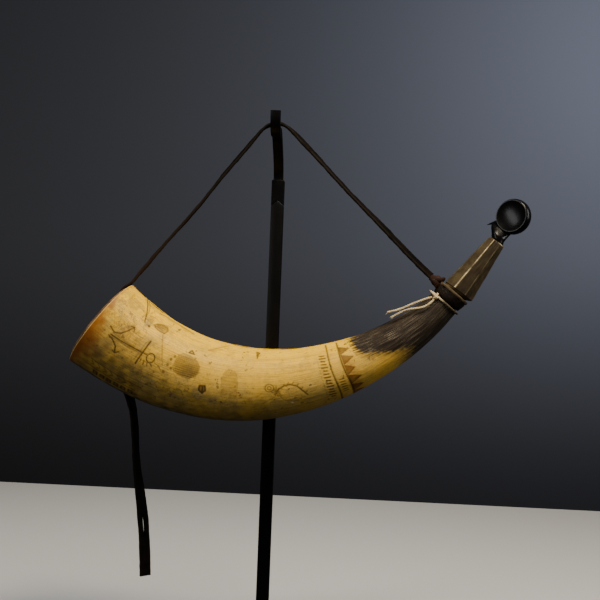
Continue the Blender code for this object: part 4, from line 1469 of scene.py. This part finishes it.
@dataclass
class Thong:
    """The leather thong: the strap over the hook, its tail, and its knot on the base."""

    width: float = THONG_WIDTH
    thick: float = THONG_THICK
    spacing: float = 0.0016
    slit_start: float = 0.052
    slit_length: float = 0.019
    slit_width: float = 0.0014
    curve: HornCurve = HORN

    def section(self) -> np.ndarray:
        """The thong's cross section with rounded edges, as across and out."""
        half, deep = self.width / 2, self.thick / 2
        corner = [(half - deep * 0.8, deep), (half - deep * 0.2, deep * 0.72), (half, deep * 0.2)]
        top = [(-half + deep * 0.8, deep), (-half * 0.4, deep * 0.94), (half * 0.4, deep * 0.96)]
        right = corner + [(u, -v) for u, v in reversed(corner)]
        below = [(half * 0.4, -deep * 0.94), (-half * 0.4, -deep * 0.96)]
        left = [(-u, -v) for u, v in corner] + [(-u, v) for u, v in reversed(corner[1:])]
        return np.array([*top, *right, *below, *left, top[0]])

    def sweep(self, name: str, route: Sequence[Point], facing: Point, seed: int) -> Piece:
        """Lays the thong along a route.

        Args:
            name: The piece's name.
            route: The route, with its twist in degrees.
            facing: The way its flat side faces at the start.
            seed: The start of the random numbers of its unevenness.

        Returns:
            The piece, with its rubbed edges marked.
        """
        points = smooth_route(route, self.spacing)
        _, face, width = carried(points[:, :3], facing)
        twist = np.radians(points[:, 3])[:, None]
        across = width * np.cos(twist) + face * np.sin(twist)
        out = face * np.cos(twist) - width * np.sin(twist)
        shape = self.section()
        at = np.arange(len(points))[:, None] * self.spacing
        where = np.arange(len(shape))[None, :] / 3.0
        uneven = 0.00013 * ripple(at / 0.012, where, seed)
        uneven += 0.00008 * ripple(at / 0.004, where * 2, seed + 1)
        uneven[:, -1] = uneven[:, 0]
        u = shape[None, :, 0] * (1 + 0.028 * ripple(at / 0.03, at * 0, seed + 2))
        v = shape[None, :, 1] + uneven * np.sign(shape[None, :, 1])
        rings = points[:, None, :3] + across[:, None] * u[..., None] + out[:, None] * v[..., None]
        piece = wrap(name, rings, closed=True, sharp=50.0)
        column = np.rint(held(piece, "column")).astype(int)
        edge = np.clip((np.abs(shape[column, 0]) / (self.width / 2) - 0.75) * 4, 0, 1)
        hold(piece, "rubbed", edge)
        return piece

    def build(self) -> None:
        """Builds the strap, the tail and the base's knot."""
        leather = LeatherFinish("050504", "3A2619", "231D16", 0.12, 0.06).material("strap_leather")
        strap = self.sweep("shoulder_strap", STRAP_ROUTE, (0.6, 0.0, 0.8), Seed.STRAP)
        across = np.array([vertex.co.x for vertex in strap.data.vertices])
        hold(strap, "warm", np.interp(across, (-0.115, -0.045), (0.8, 0.0)))
        dress(strap, Slot.LEATHER, leather, "strap")
        declare_cord(STRAP_ROUTE, self.spacing)
        tail = self.sweep("strap_loose_end", TAIL_ROUTE, self.facing(), Seed.TAIL)
        self.slit(tail)
        dress(tail, Slot.LEATHER, leather, "strap_tail")
        declare_cord(TAIL_ROUTE, self.spacing)
        dress(self.base_knot(), Slot.LEATHER, leather, "strap_base_knot")

    def facing(self) -> Point:
        """The way the base faces, as the tail does where it starts."""
        return tuple(-self.curve.place(0.0)[1])

    def slit(self, tail: Piece) -> None:
        """Opens the tail's old button slit by a cut through its middle."""
        points = smooth_route(TAIL_ROUTE, self.spacing)
        left = np.concatenate([np.cumsum(steps_of(points)[::-1])[::-1], [0.0]])
        inside = np.where((left < self.slit_start) & (left > self.slit_start - self.slit_length))[0]
        first, last = Vector(points[inside[0], :3]), Vector(points[inside[-1], :3])
        _, face, width = carried(points[:, :3], self.facing())
        k = inside[len(inside) // 2]
        twist = math.radians(points[k, 3])
        out = Vector(face[k] * math.cos(twist) - width[k] * math.sin(twist))
        along = (last - first).normalized()
        clear_selection()
        radius = self.slit_width / 2
        bpy.ops.mesh.primitive_cylinder_add(vertices=12, radius=radius, depth=self.width * 2)
        blade = bpy.context.object
        blade.data.transform(Matrix.Diagonal((1.0, self.slit_length / self.slit_width, 1.0, 1.0)))
        axes = Matrix((along.cross(out), along, out)).transposed().to_4x4()
        blade.data.transform(Matrix.Translation((first + last) / 2) @ axes)
        work_in(tail, blade, Solid.CUT)

    def base_knot(self) -> Piece:
        """The low knot behind the staple that holds the strap."""
        _, along, up = self.curve.place(0.0)
        back = np.array([0.0, 1.0, 0.0])
        turn = math.radians(35.5)
        run = back * math.sin(turn) - up * math.cos(turn)
        across = back * math.cos(turn) + up * math.sin(turn)
        middle = self.curve.base(-0.0015, 0.0255, 0.0063)
        halves = (0.0065, 0.0070, 0.0034)
        return Knot("base_knot", middle, (run, across, -along), halves, Seed.BASE_KNOT).build()


@dataclass
class ThroatLoop:
    """The two turns of thong round the throat and the knot where the strap leaves them."""

    curve: HornCurve = HORN
    start: float = 0.0013
    width: float = 0.0096
    inner: float = 0.0105
    thick_low: float = 0.0019
    thick_high: float = 0.0038
    soft: float = 0.0004
    knot_along: float = 0.0085
    knot_out: float = 0.0158
    knot_forward: float = 0.002
    knot_half: Point = (0.0052, 0.0050, 0.0054)

    def turn(self, name: str, start: float, end: float, thick: Point, seed: int) -> Piece:
        """One turn of thong round the groove, its edges a little wavy.

        Args:
            name: The part's name.
            start: Where it starts along the groove.
            end: Where it ends.
            thick: Its thickness at the start and the end.
            seed: The start of its random numbers.

        Returns:
            The part.
        """
        turns = np.linspace(0, 2 * math.pi, 121)
        soft = self.soft
        rows = []
        for a in turns:
            angle = 0.0 if a == turns[-1] else a
            wave = ripple(np.array(2 * math.cos(angle)), np.array(2 * math.sin(angle)), seed)
            bulge = 0.00022 * float(wave)
            low, high = start + bulge, end + bulge * 0.6
            outer = [self.inner + t + bulge * 0.5 for t in thick]
            outline = [(low, self.inner + soft), (low, outer[0] - soft), (low + soft, outer[0])]
            outline += [((low + high) / 2, sum(outer) / 2 + 0.0001), (high - soft, outer[1])]
            outline += [(high, outer[1] - soft), (high, self.inner + soft), (high - soft, self.inner)]
            outline += [(low + soft, self.inner), (low, self.inner + soft)]
            ring = []
            for distance, radius in outline:
                middle, along, up = self.curve.neck(distance)
                side = np.cross(along, up)
                ring.append(middle + (up * math.cos(angle) + side * math.sin(angle)) * radius)
            rows.append(ring)
        return wrap(name, np.array(rows), sharp=50.0)

    def build(self) -> Piece:
        """Builds the two turns and the knot as one piece."""
        middle, end = self.start + self.width * 0.74, self.start + self.width
        between = self.thick_low + (self.thick_high - self.thick_low) * 0.7
        thick = (self.thick_low, between)
        lower = self.turn("lower_turn", self.start, middle - 0.0002, thick, Seed.LOWER_TURN)
        thick = (between + 0.0004, self.thick_high)
        upper = self.turn("upper_turn", middle + 0.0001, end, thick, Seed.UPPER_TURN)
        # The whole upper turn takes the rubbed colour: wear, and a painted highlight along the band's
        # lit upper edge.
        hold(upper, "rubbed", np.ones(len(upper.data.vertices)))
        place, along, up = self.curve.neck(self.knot_along)
        spot = place + up * self.knot_out - np.array([0.0, self.knot_forward, 0.0])
        axes = (along, np.array([0.0, 1.0, 0.0]), up)
        knot = Knot("throat_knot", spot, axes, self.knot_half, Seed.THROAT_KNOT, 1.2, 1.0).build()
        piece = join("throat_thong", [lower, upper, knot])
        finish = LeatherFinish("1A1613", "2E1A13", "64563F", 0.15)
        return dress(piece, Slot.LEATHER, finish.material("throat_leather"), "throat_loop")


# The string


TWINE_UPPER: tuple[Point, ...] = (
    (0.1289, -0.0273, 0.2903),
    (0.1238, -0.0272, 0.2886),
    (0.1187, -0.0266, 0.2865),
    (0.1104, -0.0258, 0.2827),
    (0.1020, -0.0252, 0.2791),
    (0.0951, -0.0250, 0.2772),
)
TWINE_LOWER: tuple[Point, ...] = (
    (0.1303, -0.0283, 0.2882),
    (0.1244, -0.0292, 0.2833),
    (0.1175, -0.0286, 0.2811),
    (0.1112, -0.0272, 0.2800),
    (0.1021, -0.0256, 0.2757),
    (0.0981, -0.0250, 0.2734),
)
TWINE_SHORT: tuple[Point, ...] = (
    (0.1318, -0.0266, 0.2902),
    (0.1300, -0.0270, 0.2926),
    (0.1281, -0.0262, 0.2950),
)


@dataclass
class String:
    """The string tied round the horn below the throat: its turn, its knot and its loose ends."""

    curve: HornCurve = HORN
    thick: float = 0.0016
    gap: float = 0.0003
    back: float = 0.0010
    knot_back: float = 0.0023
    knot_turn: float = 53.0
    knot_loops: tuple[Point, ...] = ((20.0, -0.0009), (-25.0, 0.0010), (75.0, 0.0))
    pitch: float = 0.0052
    spacing: float = 0.0006
    short_spacing: float = 0.0004

    def plies(self, name: str, points: np.ndarray, endless: bool = False, scale: float = 1.0) -> Piece:
        """Three yarns laid round each other along a line.

        Args:
            name: The piece's name.
            points: The line, closely spaced.
            endless: Whether the line closes on itself.
            scale: How thick the string is against its usual thickness.

        Returns:
            The piece.
        """
        _, face, across = carried(points, CORD_FACING)
        at = reaches(points)
        turns = max(1.0, round(at[-1] / self.pitch))
        yarns = []
        for k in range(3):
            phase = 2 * math.pi * (at / at[-1] * turns + k / 3)
            lift = self.thick * 0.25 * scale
            line = points + (face * np.cos(phase)[:, None] + across * np.sin(phase)[:, None]) * lift
            thick = self.thick * 0.27 * scale * (1 + 0.08 * np.sin(at * 2300 + k))
            yarns.append(tube(f"{name}_yarn", line, thick, 8, closed=not endless))
        return join(name, yarns)

    @staticmethod
    def fray(points: np.ndarray, seed: int, count: int = 26) -> list[Piece]:
        """Loose hairs that fan out of a string's end.

        Args:
            points: The string's line.
            seed: The start of the random numbers.
            count: How many hairs there are.

        Returns:
            The hairs.
        """
        end, way = points[-1], heading(points)
        chance = np.random.default_rng(seed)
        hairs = []
        for _ in range(count):
            spread = chance.normal(0, 0.28, 3)
            aim = way + spread
            long = chance.uniform(0.0009, 0.0014)
            start = end - way * 0.0008 + spread * 0.0006
            shares = (0, 0.35, 0.7, 1.0)
            line = np.array([start + aim * long * s + spread * long * 0.5 * s * s for s in shares])
            hairs.append(tube("hair", line, np.array([0.00026, 0.00024, 0.00018, 0.00008]), 5))
        return hairs

    def loose_end(
        self, name: str, route: Sequence[Point], node: str, finish: Material, seed: int
    ) -> None:
        """One loose end, plied and frayed.

        Args:
            name: The piece's name.
            route: Its route.
            node: The CAD node that it stands for.
            finish: Its material.
            seed: The start of the random numbers of its frayed end.
        """
        points = smooth_route(route, self.spacing)
        piece = join(name, [self.plies(name, points), *self.fray(points, seed)])
        dress(piece, Slot.TWINE, finish, node)
        declare_cord(route, self.spacing)

    def ring_point(self, back: float, gap: float, turn: float) -> tuple[np.ndarray, ...]:
        """A point round the horn's end, with the directions along and out there."""
        share = 1.0 - back / self.curve.length
        middle, along, up = self.curve.place(share)
        side = np.cross(along, up)
        out = up * math.cos(math.radians(turn)) + side * math.sin(math.radians(turn))
        return middle + out * (self.curve.radius(share) + gap), along, out

    def knot(self) -> list[Piece]:
        """The knot at the front: three tight loops of string over each other."""
        spot, along, out = self.ring_point(self.knot_back, self.gap + 0.0014, self.knot_turn)
        side = np.cross(along, out)
        loops = []
        turns = np.linspace(0, 2 * math.pi, 37)[:, None]
        for lean, shift in self.knot_loops:
            tilt = math.radians(lean)
            first = along * math.cos(tilt) + side * math.sin(tilt)
            second = out * 0.62 + side * 0.2
            round_ = first * np.cos(turns) * 1.25 + second * np.sin(turns)
            ring = spot + along * shift + round_ * 0.0017
            loops.append(self.plies("knot_loop", ring, endless=True, scale=0.95))
        return loops

    def build(self) -> None:
        """Builds the tie and the two loose ends."""
        finish = TwineFinish().material()
        turns = np.linspace(0, 360, 241)
        gap = self.gap + self.thick / 2
        slant = self.back * 0.5 * (1 - np.cos(np.radians(turns - self.knot_turn)))
        ring = np.array([self.ring_point(self.back - s, gap, t)[0] for s, t in zip(slant, turns)])
        parts = [self.plies("string_turn", ring, endless=True)]
        short = smooth_route(TWINE_SHORT, self.short_spacing)
        parts += [self.plies("string_short", short), *self.fray(short, Seed.SHORT_END, 6)]
        dress(join("string_tie", [*parts, *self.knot()]), Slot.TWINE, finish, "twine_tie")
        self.loose_end("string_end_upper", TWINE_UPPER, "twine_end_upper", finish, Seed.UPPER_END)
        self.loose_end("string_end_lower", TWINE_LOWER, "twine_end_lower", finish, Seed.LOWER_END)


@dataclass
class Stopper:
    """The black stopper: shank, twisted neck, dished round head and a small spur."""

    curve: HornCurve = HORN
    gap: float = 0.0003
    shank_length: float = 0.016
    head_reach: float = 0.0239
    head_rise: float = 0.0014
    head_radius: float = 0.0142
    head_thick: float = 0.0092
    face_radius: float = 0.0122
    dish: float = 0.0022
    turn: float = 30.0
    tilt: float = 6.0
    spur_lean: float = 15.0
    spur_length: float = 0.0106
    spur_radius: float = 0.0015
    neck: tuple[Point, ...] = (
        (0.0005, 0.0000, 0.0052, 0.0052, 0),
        (0.0010, 0.0000, 0.0057, 0.0057, 0),
        (0.0032, 0.0012, 0.0061, 0.0055, 4),
        (0.0070, 0.0027, 0.0078, 0.0049, 13),
        (0.0100, 0.0032, 0.0087, 0.0042, 20),
        (0.0130, 0.0029, 0.0090, 0.0034, 26),
        (0.0150, 0.0020, 0.0075, 0.0022, 29),
    )

    def axes(self) -> tuple[np.ndarray, np.ndarray, np.ndarray]:
        """The way the head faces, the way along its face to the left, and its own down."""
        turn, tilt = math.radians(self.turn), math.radians(self.tilt)
        facing = np.array([-math.sin(turn), -math.cos(turn), math.sin(tilt)])
        facing /= np.linalg.norm(facing)
        left = np.cross(facing, (0.0, 0.0, 1.0))
        left /= np.linalg.norm(left) * (1 if left[0] < 0 else -1)
        down = np.cross(facing, left)
        down /= np.linalg.norm(down) * (1 if down[2] < 0 else -1)
        return facing, left, down

    def head(self, middle: np.ndarray) -> Piece:
        """The turned head: a thick disc with a soft rim and a shallow dish in both faces."""
        facing, left, down = self.axes()
        half = self.head_thick / 2
        reach = np.linspace(0.0, 1.0, 12)
        bowl = [(self.face_radius * r, half - self.dish * (1 - r**2.4)) for r in reach]
        lip = [(self.face_radius + out, half + 0.0003) for out in (0.0001, 0.0006)]
        rim = []
        for bulge in np.linspace(math.pi / 2, 0, 12)[1:]:
            out = self.face_radius + (self.head_radius - self.face_radius) * math.cos(bulge)
            rim.append((out + 0.0001, (half - 0.0001) * math.sin(bulge)))
        front = [*bowl, *lip, *rim]
        profile = front + [(r, -h) for r, h in reversed(front[:-1])]
        turns = np.linspace(0, 2 * math.pi, 97)
        round_ = left * np.cos(turns)[:, None] + down * np.sin(turns)[:, None]
        rings = np.array([middle + facing * h + round_ * max(r, 1e-6) for r, h in profile])
        return wrap("stopper_head", rings, closed=True, sharp=55.0)

    def spur(self, middle: np.ndarray) -> Piece:
        """The small pointed spur at the head's lower left."""
        _, left, down = self.axes()
        lean = math.radians(self.spur_lean)
        way = left * math.cos(lean) + down * math.sin(lean)
        root = middle + left * 0.0122 + down * 0.0038
        shares = np.linspace(0, 1, 9)
        thick = self.spur_radius * (1 - shares**1.5) + 0.00012
        return tube("stopper_spur", root + way * self.spur_length * shares[:, None], thick, 14)

    def build(self) -> Piece:
        """Builds the stopper as one piece."""
        tip, along, up = self.curve.spout(self.curve.spout_length)
        shank = self.curve.spout_bore / 2 - self.gap
        inside = [(-self.shank_length, 0.0, shank * 0.75, shank * 0.75, 0.0)]
        inside += [(at, 0.0, shank, shank, 0.0) for at in (0.0008 - self.shank_length, self.gap)]
        inside += [(self.gap, *self.neck[0][1:])]
        rows = smooth_route(self.neck[1:], 0.0007)
        turns = np.linspace(0, 2 * math.pi, 49)[:, None]
        rings = []
        for distance, shift, wide, deep, twist in [*inside, *rows]:
            turn = math.radians(twist)
            across = up * math.cos(turn) + np.array([0.0, math.sin(turn), 0.0])
            side = np.cross(along, across)
            behind = 0.0034 * min(1.0, max(0.0, (distance - 0.0045) / 0.0075))
            middle = tip + along * distance + across * shift + np.array([0.0, behind, 0.0])
            rings.append(middle + across * wide * np.cos(turns) + side * deep * np.sin(turns))
        body = wrap("stopper_neck", np.array(rings), closed=True, sharp=45.0)
        middle = tip + along * self.head_reach + up * self.head_rise
        for part in (self.head(middle), self.spur(middle)):
            work_in(body, part, Solid.WELD)
        body.name = "black_stopper"
        finish = BlackFinish("polished_black", "070708", "0E0E0F", 0.26)
        return dress(settle(body, 25.0), Slot.BLACK, finish.material(), "stopper")


@dataclass
class Stand:
    """The stand: foot plate, gabled post, socket block and bent hook of square rod."""

    post_y: float = 0.035
    post_size: float = 0.0103
    post_top: float = 0.3666
    gable: float = 0.0045
    foot_size: Point = (0.150, 0.120, 0.006)
    foot_corner: float = 0.004
    socket_rise: float = 0.0173
    socket_depth: float = 0.0050
    rod_size: float = 0.0078
    rod_edge: float = 0.0007
    chamfer: float = 0.0008
    gap: float = 0.0003
    edge: float = 0.0005
    rod_route: tuple[Point, ...] = (
        (0.0000, 0.0004),
        (0.0000, 0.0033),
        (0.0001, 0.0063),
        (0.0025, 0.0136),
        (0.0130, 0.0251),
        (0.0250, 0.0339),
        (0.0350, 0.0395),
        (0.0440, 0.0397),
        (0.0492, 0.0400),
        (0.0556, 0.0451),
        (0.0578, 0.0549),
    )

    @staticmethod
    def block(name: str, low: Point, high: Point) -> Piece:
        """A sharp block between two corners.

        Args:
            name: The piece's name.
            low: Its lowest corner.
            high: Its highest corner.

        Returns:
            The piece, still open to shaping.
        """
        clear_selection()
        middle = [(a + b) / 2 for a, b in zip(low, high)]
        bpy.ops.mesh.primitive_cube_add(size=1.0, location=middle)
        piece = bpy.context.object
        piece.name = name
        piece.scale = [b - a for a, b in zip(low, high)]
        bpy.ops.object.transform_apply(location=True, rotation=True, scale=True)
        return piece

    @staticmethod
    def break_edges(piece: Piece, width: float) -> None:
        """Breaks a block's edges with a small rounded bevel."""
        pick(piece)
        step = piece.modifiers.new("edges", "BEVEL")
        step.width = width
        step.segments = 2
        step.limit_method = "ANGLE"
        bpy.ops.object.modifier_apply(modifier=step.name)

    def pitch(self, piece: Piece, eaves: float) -> None:
        """Draws the face at the eaves up to a ridge that runs front to back."""

        def crosses(edge: bpy.types.MeshEdge) -> bool:
            """Says whether an edge runs from left to right at the eaves."""
            first, second = ends_of(piece.data, edge)
            return max(abs(first.z - eaves), abs(second.z - eaves), abs(first.y - second.y)) < 1e-6

        choose(piece, Part.EDGE, crosses)
        bpy.ops.mesh.subdivide(number_cuts=1)
        choose(piece, Part.POINT, lambda point: max(abs(point.co.x), abs(point.co.z - eaves)) < 1e-6)
        bpy.ops.transform.translate(value=(0.0, 0.0, self.gable))
        bpy.ops.object.mode_set(mode="OBJECT")

    def post(self) -> Piece:
        """The post, its top drawn up to a gable."""
        half, bottom = self.post_size / 2, self.foot_size[2] + self.gap
        eaves = self.post_top - self.gable
        low, high = (-half, self.post_y - half, bottom), (half, self.post_y + half, eaves)
        piece = self.block("gabled_post", low, high)
        self.pitch(piece, eaves)
        self.break_edges(piece, self.edge * 0.6)
        return piece

    def socket(self) -> Piece:
        """The block on the post's gable, notched below and with a square hole in its top."""
        half = self.post_size / 2
        lift = self.gap * 1.5
        eaves, top = self.post_top - self.gable + lift, self.post_top + self.socket_rise
        low, high = (-half, self.post_y - half, eaves), (half, self.post_y + half, top)
        piece = self.block("socket_block", low, high)
        self.pitch(piece, eaves)
        choose(piece, Part.FACE, lambda face: face.normal.z > 0.9)
        bpy.ops.mesh.inset(thickness=half - self.rod_size / 2 - self.gap, depth=0.0)
        sink = (0.0, 0.0, -self.socket_depth)
        bpy.ops.mesh.extrude_region_move(TRANSFORM_OT_translate={"value": sink})

        def shoulder(edge: bpy.types.MeshEdge) -> bool:
            """Says whether an edge runs from front to back along the top's left or right side."""
            spots = ends_of(piece.data, edge)
            return all(abs(p.z - top) < 1e-6 and abs(abs(p.x) - half) < 1e-6 for p in spots)

        choose(piece, Part.EDGE, shoulder)
        bpy.ops.mesh.bevel(offset=self.chamfer, segments=1, affect="EDGES")
        bpy.ops.object.mode_set(mode="OBJECT")
        return piece

    def foot(self) -> Piece:
        """The flat foot plate with rounded corners."""
        wide, deep, thick = self.foot_size
        piece = self.block("foot_plate", (-wide / 2, -deep / 2, 0.0), (wide / 2, deep / 2, thick))

        def upright(edge: bpy.types.MeshEdge) -> bool:
            """Says whether an edge runs from the plate's underside to its top."""
            first, second = ends_of(piece.data, edge)
            return abs(first.z - second.z) > thick / 2

        choose(piece, Part.EDGE, upright)
        bpy.ops.mesh.bevel(offset=self.foot_corner, segments=6, affect="EDGES")
        bpy.ops.object.mode_set(mode="OBJECT")
        self.break_edges(piece, self.edge * 1.5)
        return piece

    def hook(self) -> Piece:
        """The square rod bent forward to a low saddle with an upright tip."""
        floor = self.post_top + self.socket_rise - self.socket_depth
        route = [(0.0, self.post_y - forward, floor + rise) for forward, rise in self.rod_route]
        points = smooth_route(route, 0.0009)
        _, face, across = carried(points, (0.0, 1.0, 0.0))
        half, edge = self.rod_size / 2, self.rod_edge
        outline = []
        for u, v in ((1, 1), (-1, 1), (-1, -1), (1, -1)):
            near, slant = half - edge, half - edge * 0.3
            corner = [(u * half, v * near), (u * slant, v * slant), (u * near, v * half)]
            outline += corner if u == v else corner[::-1]
        shape = np.array(outline + outline[:1])[None]
        rings = points[:, None] + across[:, None] * shape[..., :1] + face[:, None] * shape[..., 1:]
        return wrap("bent_hook", rings, closed=True, sharp=30.0)

    def build(self) -> None:
        """Builds and dresses the stand's four pieces."""
        finish = BlackFinish("satin_black_steel", "050506", "0A0A0A", 0.45, grain=0.15, shine=0.14)
        steel = finish.material()
        parts = ((self.foot, "stand_foot"), (self.post, "stand_post"), (self.socket, "hook_socket"))
        for make, node in (*parts, (self.hook, "hook_rod")):
            dress(settle(make(), 30.0), Slot.STEEL, steel, node)


@dataclass(frozen=True)
class Sheet:
    """A plain sheet of the studio, turned in degrees, which may have a darker colour near its foot, a
    painted shade.
    """

    name: str
    size: Point
    spot: Point
    turn: Point
    colour: str
    foot: str = ""
    fade: Point = (-0.35, 0.5)

    def build(self) -> None:
        """Builds the sheet as a part of the stage."""
        clear_selection()
        bpy.ops.mesh.primitive_plane_add(size=1.0)
        sheet = bpy.context.object
        sheet.name = self.name
        sheet.data.transform(Matrix.Diagonal((*self.size, 1.0, 1.0)))
        for axis, degrees in zip("XYZ", self.turn):
            sheet.data.transform(Matrix.Rotation(math.radians(degrees), 4, axis))
        sheet.data.transform(Matrix.Translation(self.spot))
        g = Graph(self.name)
        height = g.node("ShaderNodeSeparateXYZ", {}, {0: g.place()}, "Z").rise(*self.fade)
        tone = g.mix(height, hue(self.foot or self.colour), hue(self.colour))
        g.set(Base_Color=tone, Roughness=0.8, Specular_IOR_Level=0.15)
        sheet.data.materials.append(g.material)
        sheet.visible_diffuse = False
        sheet.visible_glossy = False


@dataclass(frozen=True)
class Lamp:
    """A soft rectangular light, rolled about its beam in degrees, which gloss may mirror."""

    name: str
    spot: Point
    aim: Point
    size: Point
    watts: float
    tint: str = "FFFFFF"
    roll: float = 0.0
    mirrored: bool = True

    def build(self) -> None:
        """Hangs the light and points it at its aim."""
        data = bpy.data.lights.new(self.name, "AREA")
        data.shape = "RECTANGLE"
        data.size, data.size_y = self.size
        data.energy = self.watts
        data.color = hue(self.tint)[:3]
        lamp = bpy.data.objects.new(self.name, data)
        lamp.visible_glossy = self.mirrored
        bpy.context.scene.collection.objects.link(lamp)
        way = Vector(self.aim) - Vector(self.spot)
        aimed = way.to_track_quat("-Z", "Y").to_matrix().to_4x4()
        turned = Matrix.Rotation(math.radians(self.roll), 4, "Z")
        lamp.matrix_world = Matrix.Translation(self.spot) @ aimed @ turned


@dataclass
class Studio:
    """The plain pale floor, the grey backdrop, soft lights and the photograph's camera."""

    middle: Point = (0.0246, -0.015, 0.284)
    distance: float = 1.0
    yaw: float = 3.0
    roll: float = 2.2
    lens: float = 75.0
    sensor: float = 36.0

    def camera(self) -> None:
        """Puts the camera where the photograph was taken from."""
        turn = math.radians(self.yaw)
        data = bpy.data.cameras.new("camera")
        data.lens = self.lens
        data.sensor_width = self.sensor
        data.clip_start = 0.01
        eye = bpy.data.objects.new("camera", data)
        bpy.context.scene.collection.objects.link(eye)
        spot = Vector(self.middle) + Vector((math.sin(turn), -math.cos(turn), 0.0)) * self.distance
        upright = Matrix.Rotation(turn, 4, "Z") @ Matrix.Rotation(math.pi / 2, 4, "X")
        lean = Matrix.Rotation(math.radians(self.roll), 4, "Z")
        eye.matrix_world = Matrix.Translation(spot) @ upright @ lean
        bpy.context.scene.camera = eye

    def build(self) -> None:
        """Sets the whole studio."""
        self.camera()
        world = bpy.data.worlds.new("studio")
        world.use_nodes = True
        sky = world.node_tree.nodes["Background"].inputs
        sky["Color"].default_value = (0.20, 0.21, 0.22, 1.0)
        sky["Strength"].default_value = 0.12
        bpy.context.scene.world = world
        over, under = (0.02, 0.0, 0.27), (0.07, -0.01, 0.23)
        throat, hook = (0.15, 0.0, 0.33), (0.19, -0.02, 0.37)
        for piece in (
            Sheet("floor", (3.2, 1.75), (0.0, -0.08, -0.0005), (0, 0, -1.0), "B9B9B8"),
            # The backdrop darkens towards its foot: painted shade.
            Sheet("backdrop", (7.0, 5.0), (0.0, 2.4, 1.2), (90, 0, 0), "5C5F67", "303136"),
            Lamp("key", (0.32, -0.44, 1.16), over, (0.55, 0.35), 18.8, "FFEED2"),
            Lamp("back", (-0.10, 0.45, 1.15), over, (0.8, 0.3), 6.0, mirrored=False),
            Lamp("side", (0.95, -0.10, 0.60), throat, (0.18, 0.5), 3.2),
            Lamp("strip", (-0.75, -0.69, 0.71), hook, (0.28, 0.9), 4.2, roll=45.0),
            Lamp("fill", (0.55, -0.55, 0.03), under, (0.4, 0.4), 0.65, "FFF3E0", mirrored=False),
            Lamp("glow", (0.9, 1.6, 1.0), (0.6, 2.4, 0.75), (0.8, 0.8), 12.0, "EEF2FF"),
        ):
            piece.build()


def main() -> None:
    """Builds the studio and every piece in order."""
    logging.basicConfig(level=logging.INFO, format="%(message)s")
    Studio().build()
    Thong().build()
    String().build()
    ThroatLoop().build()
    HornBody().build()
    plug = BasePlug()
    plug.build()
    plug.dress_staple()
    Stopper().build()
    Stand().build()


if __name__ == "__main__":
    main()
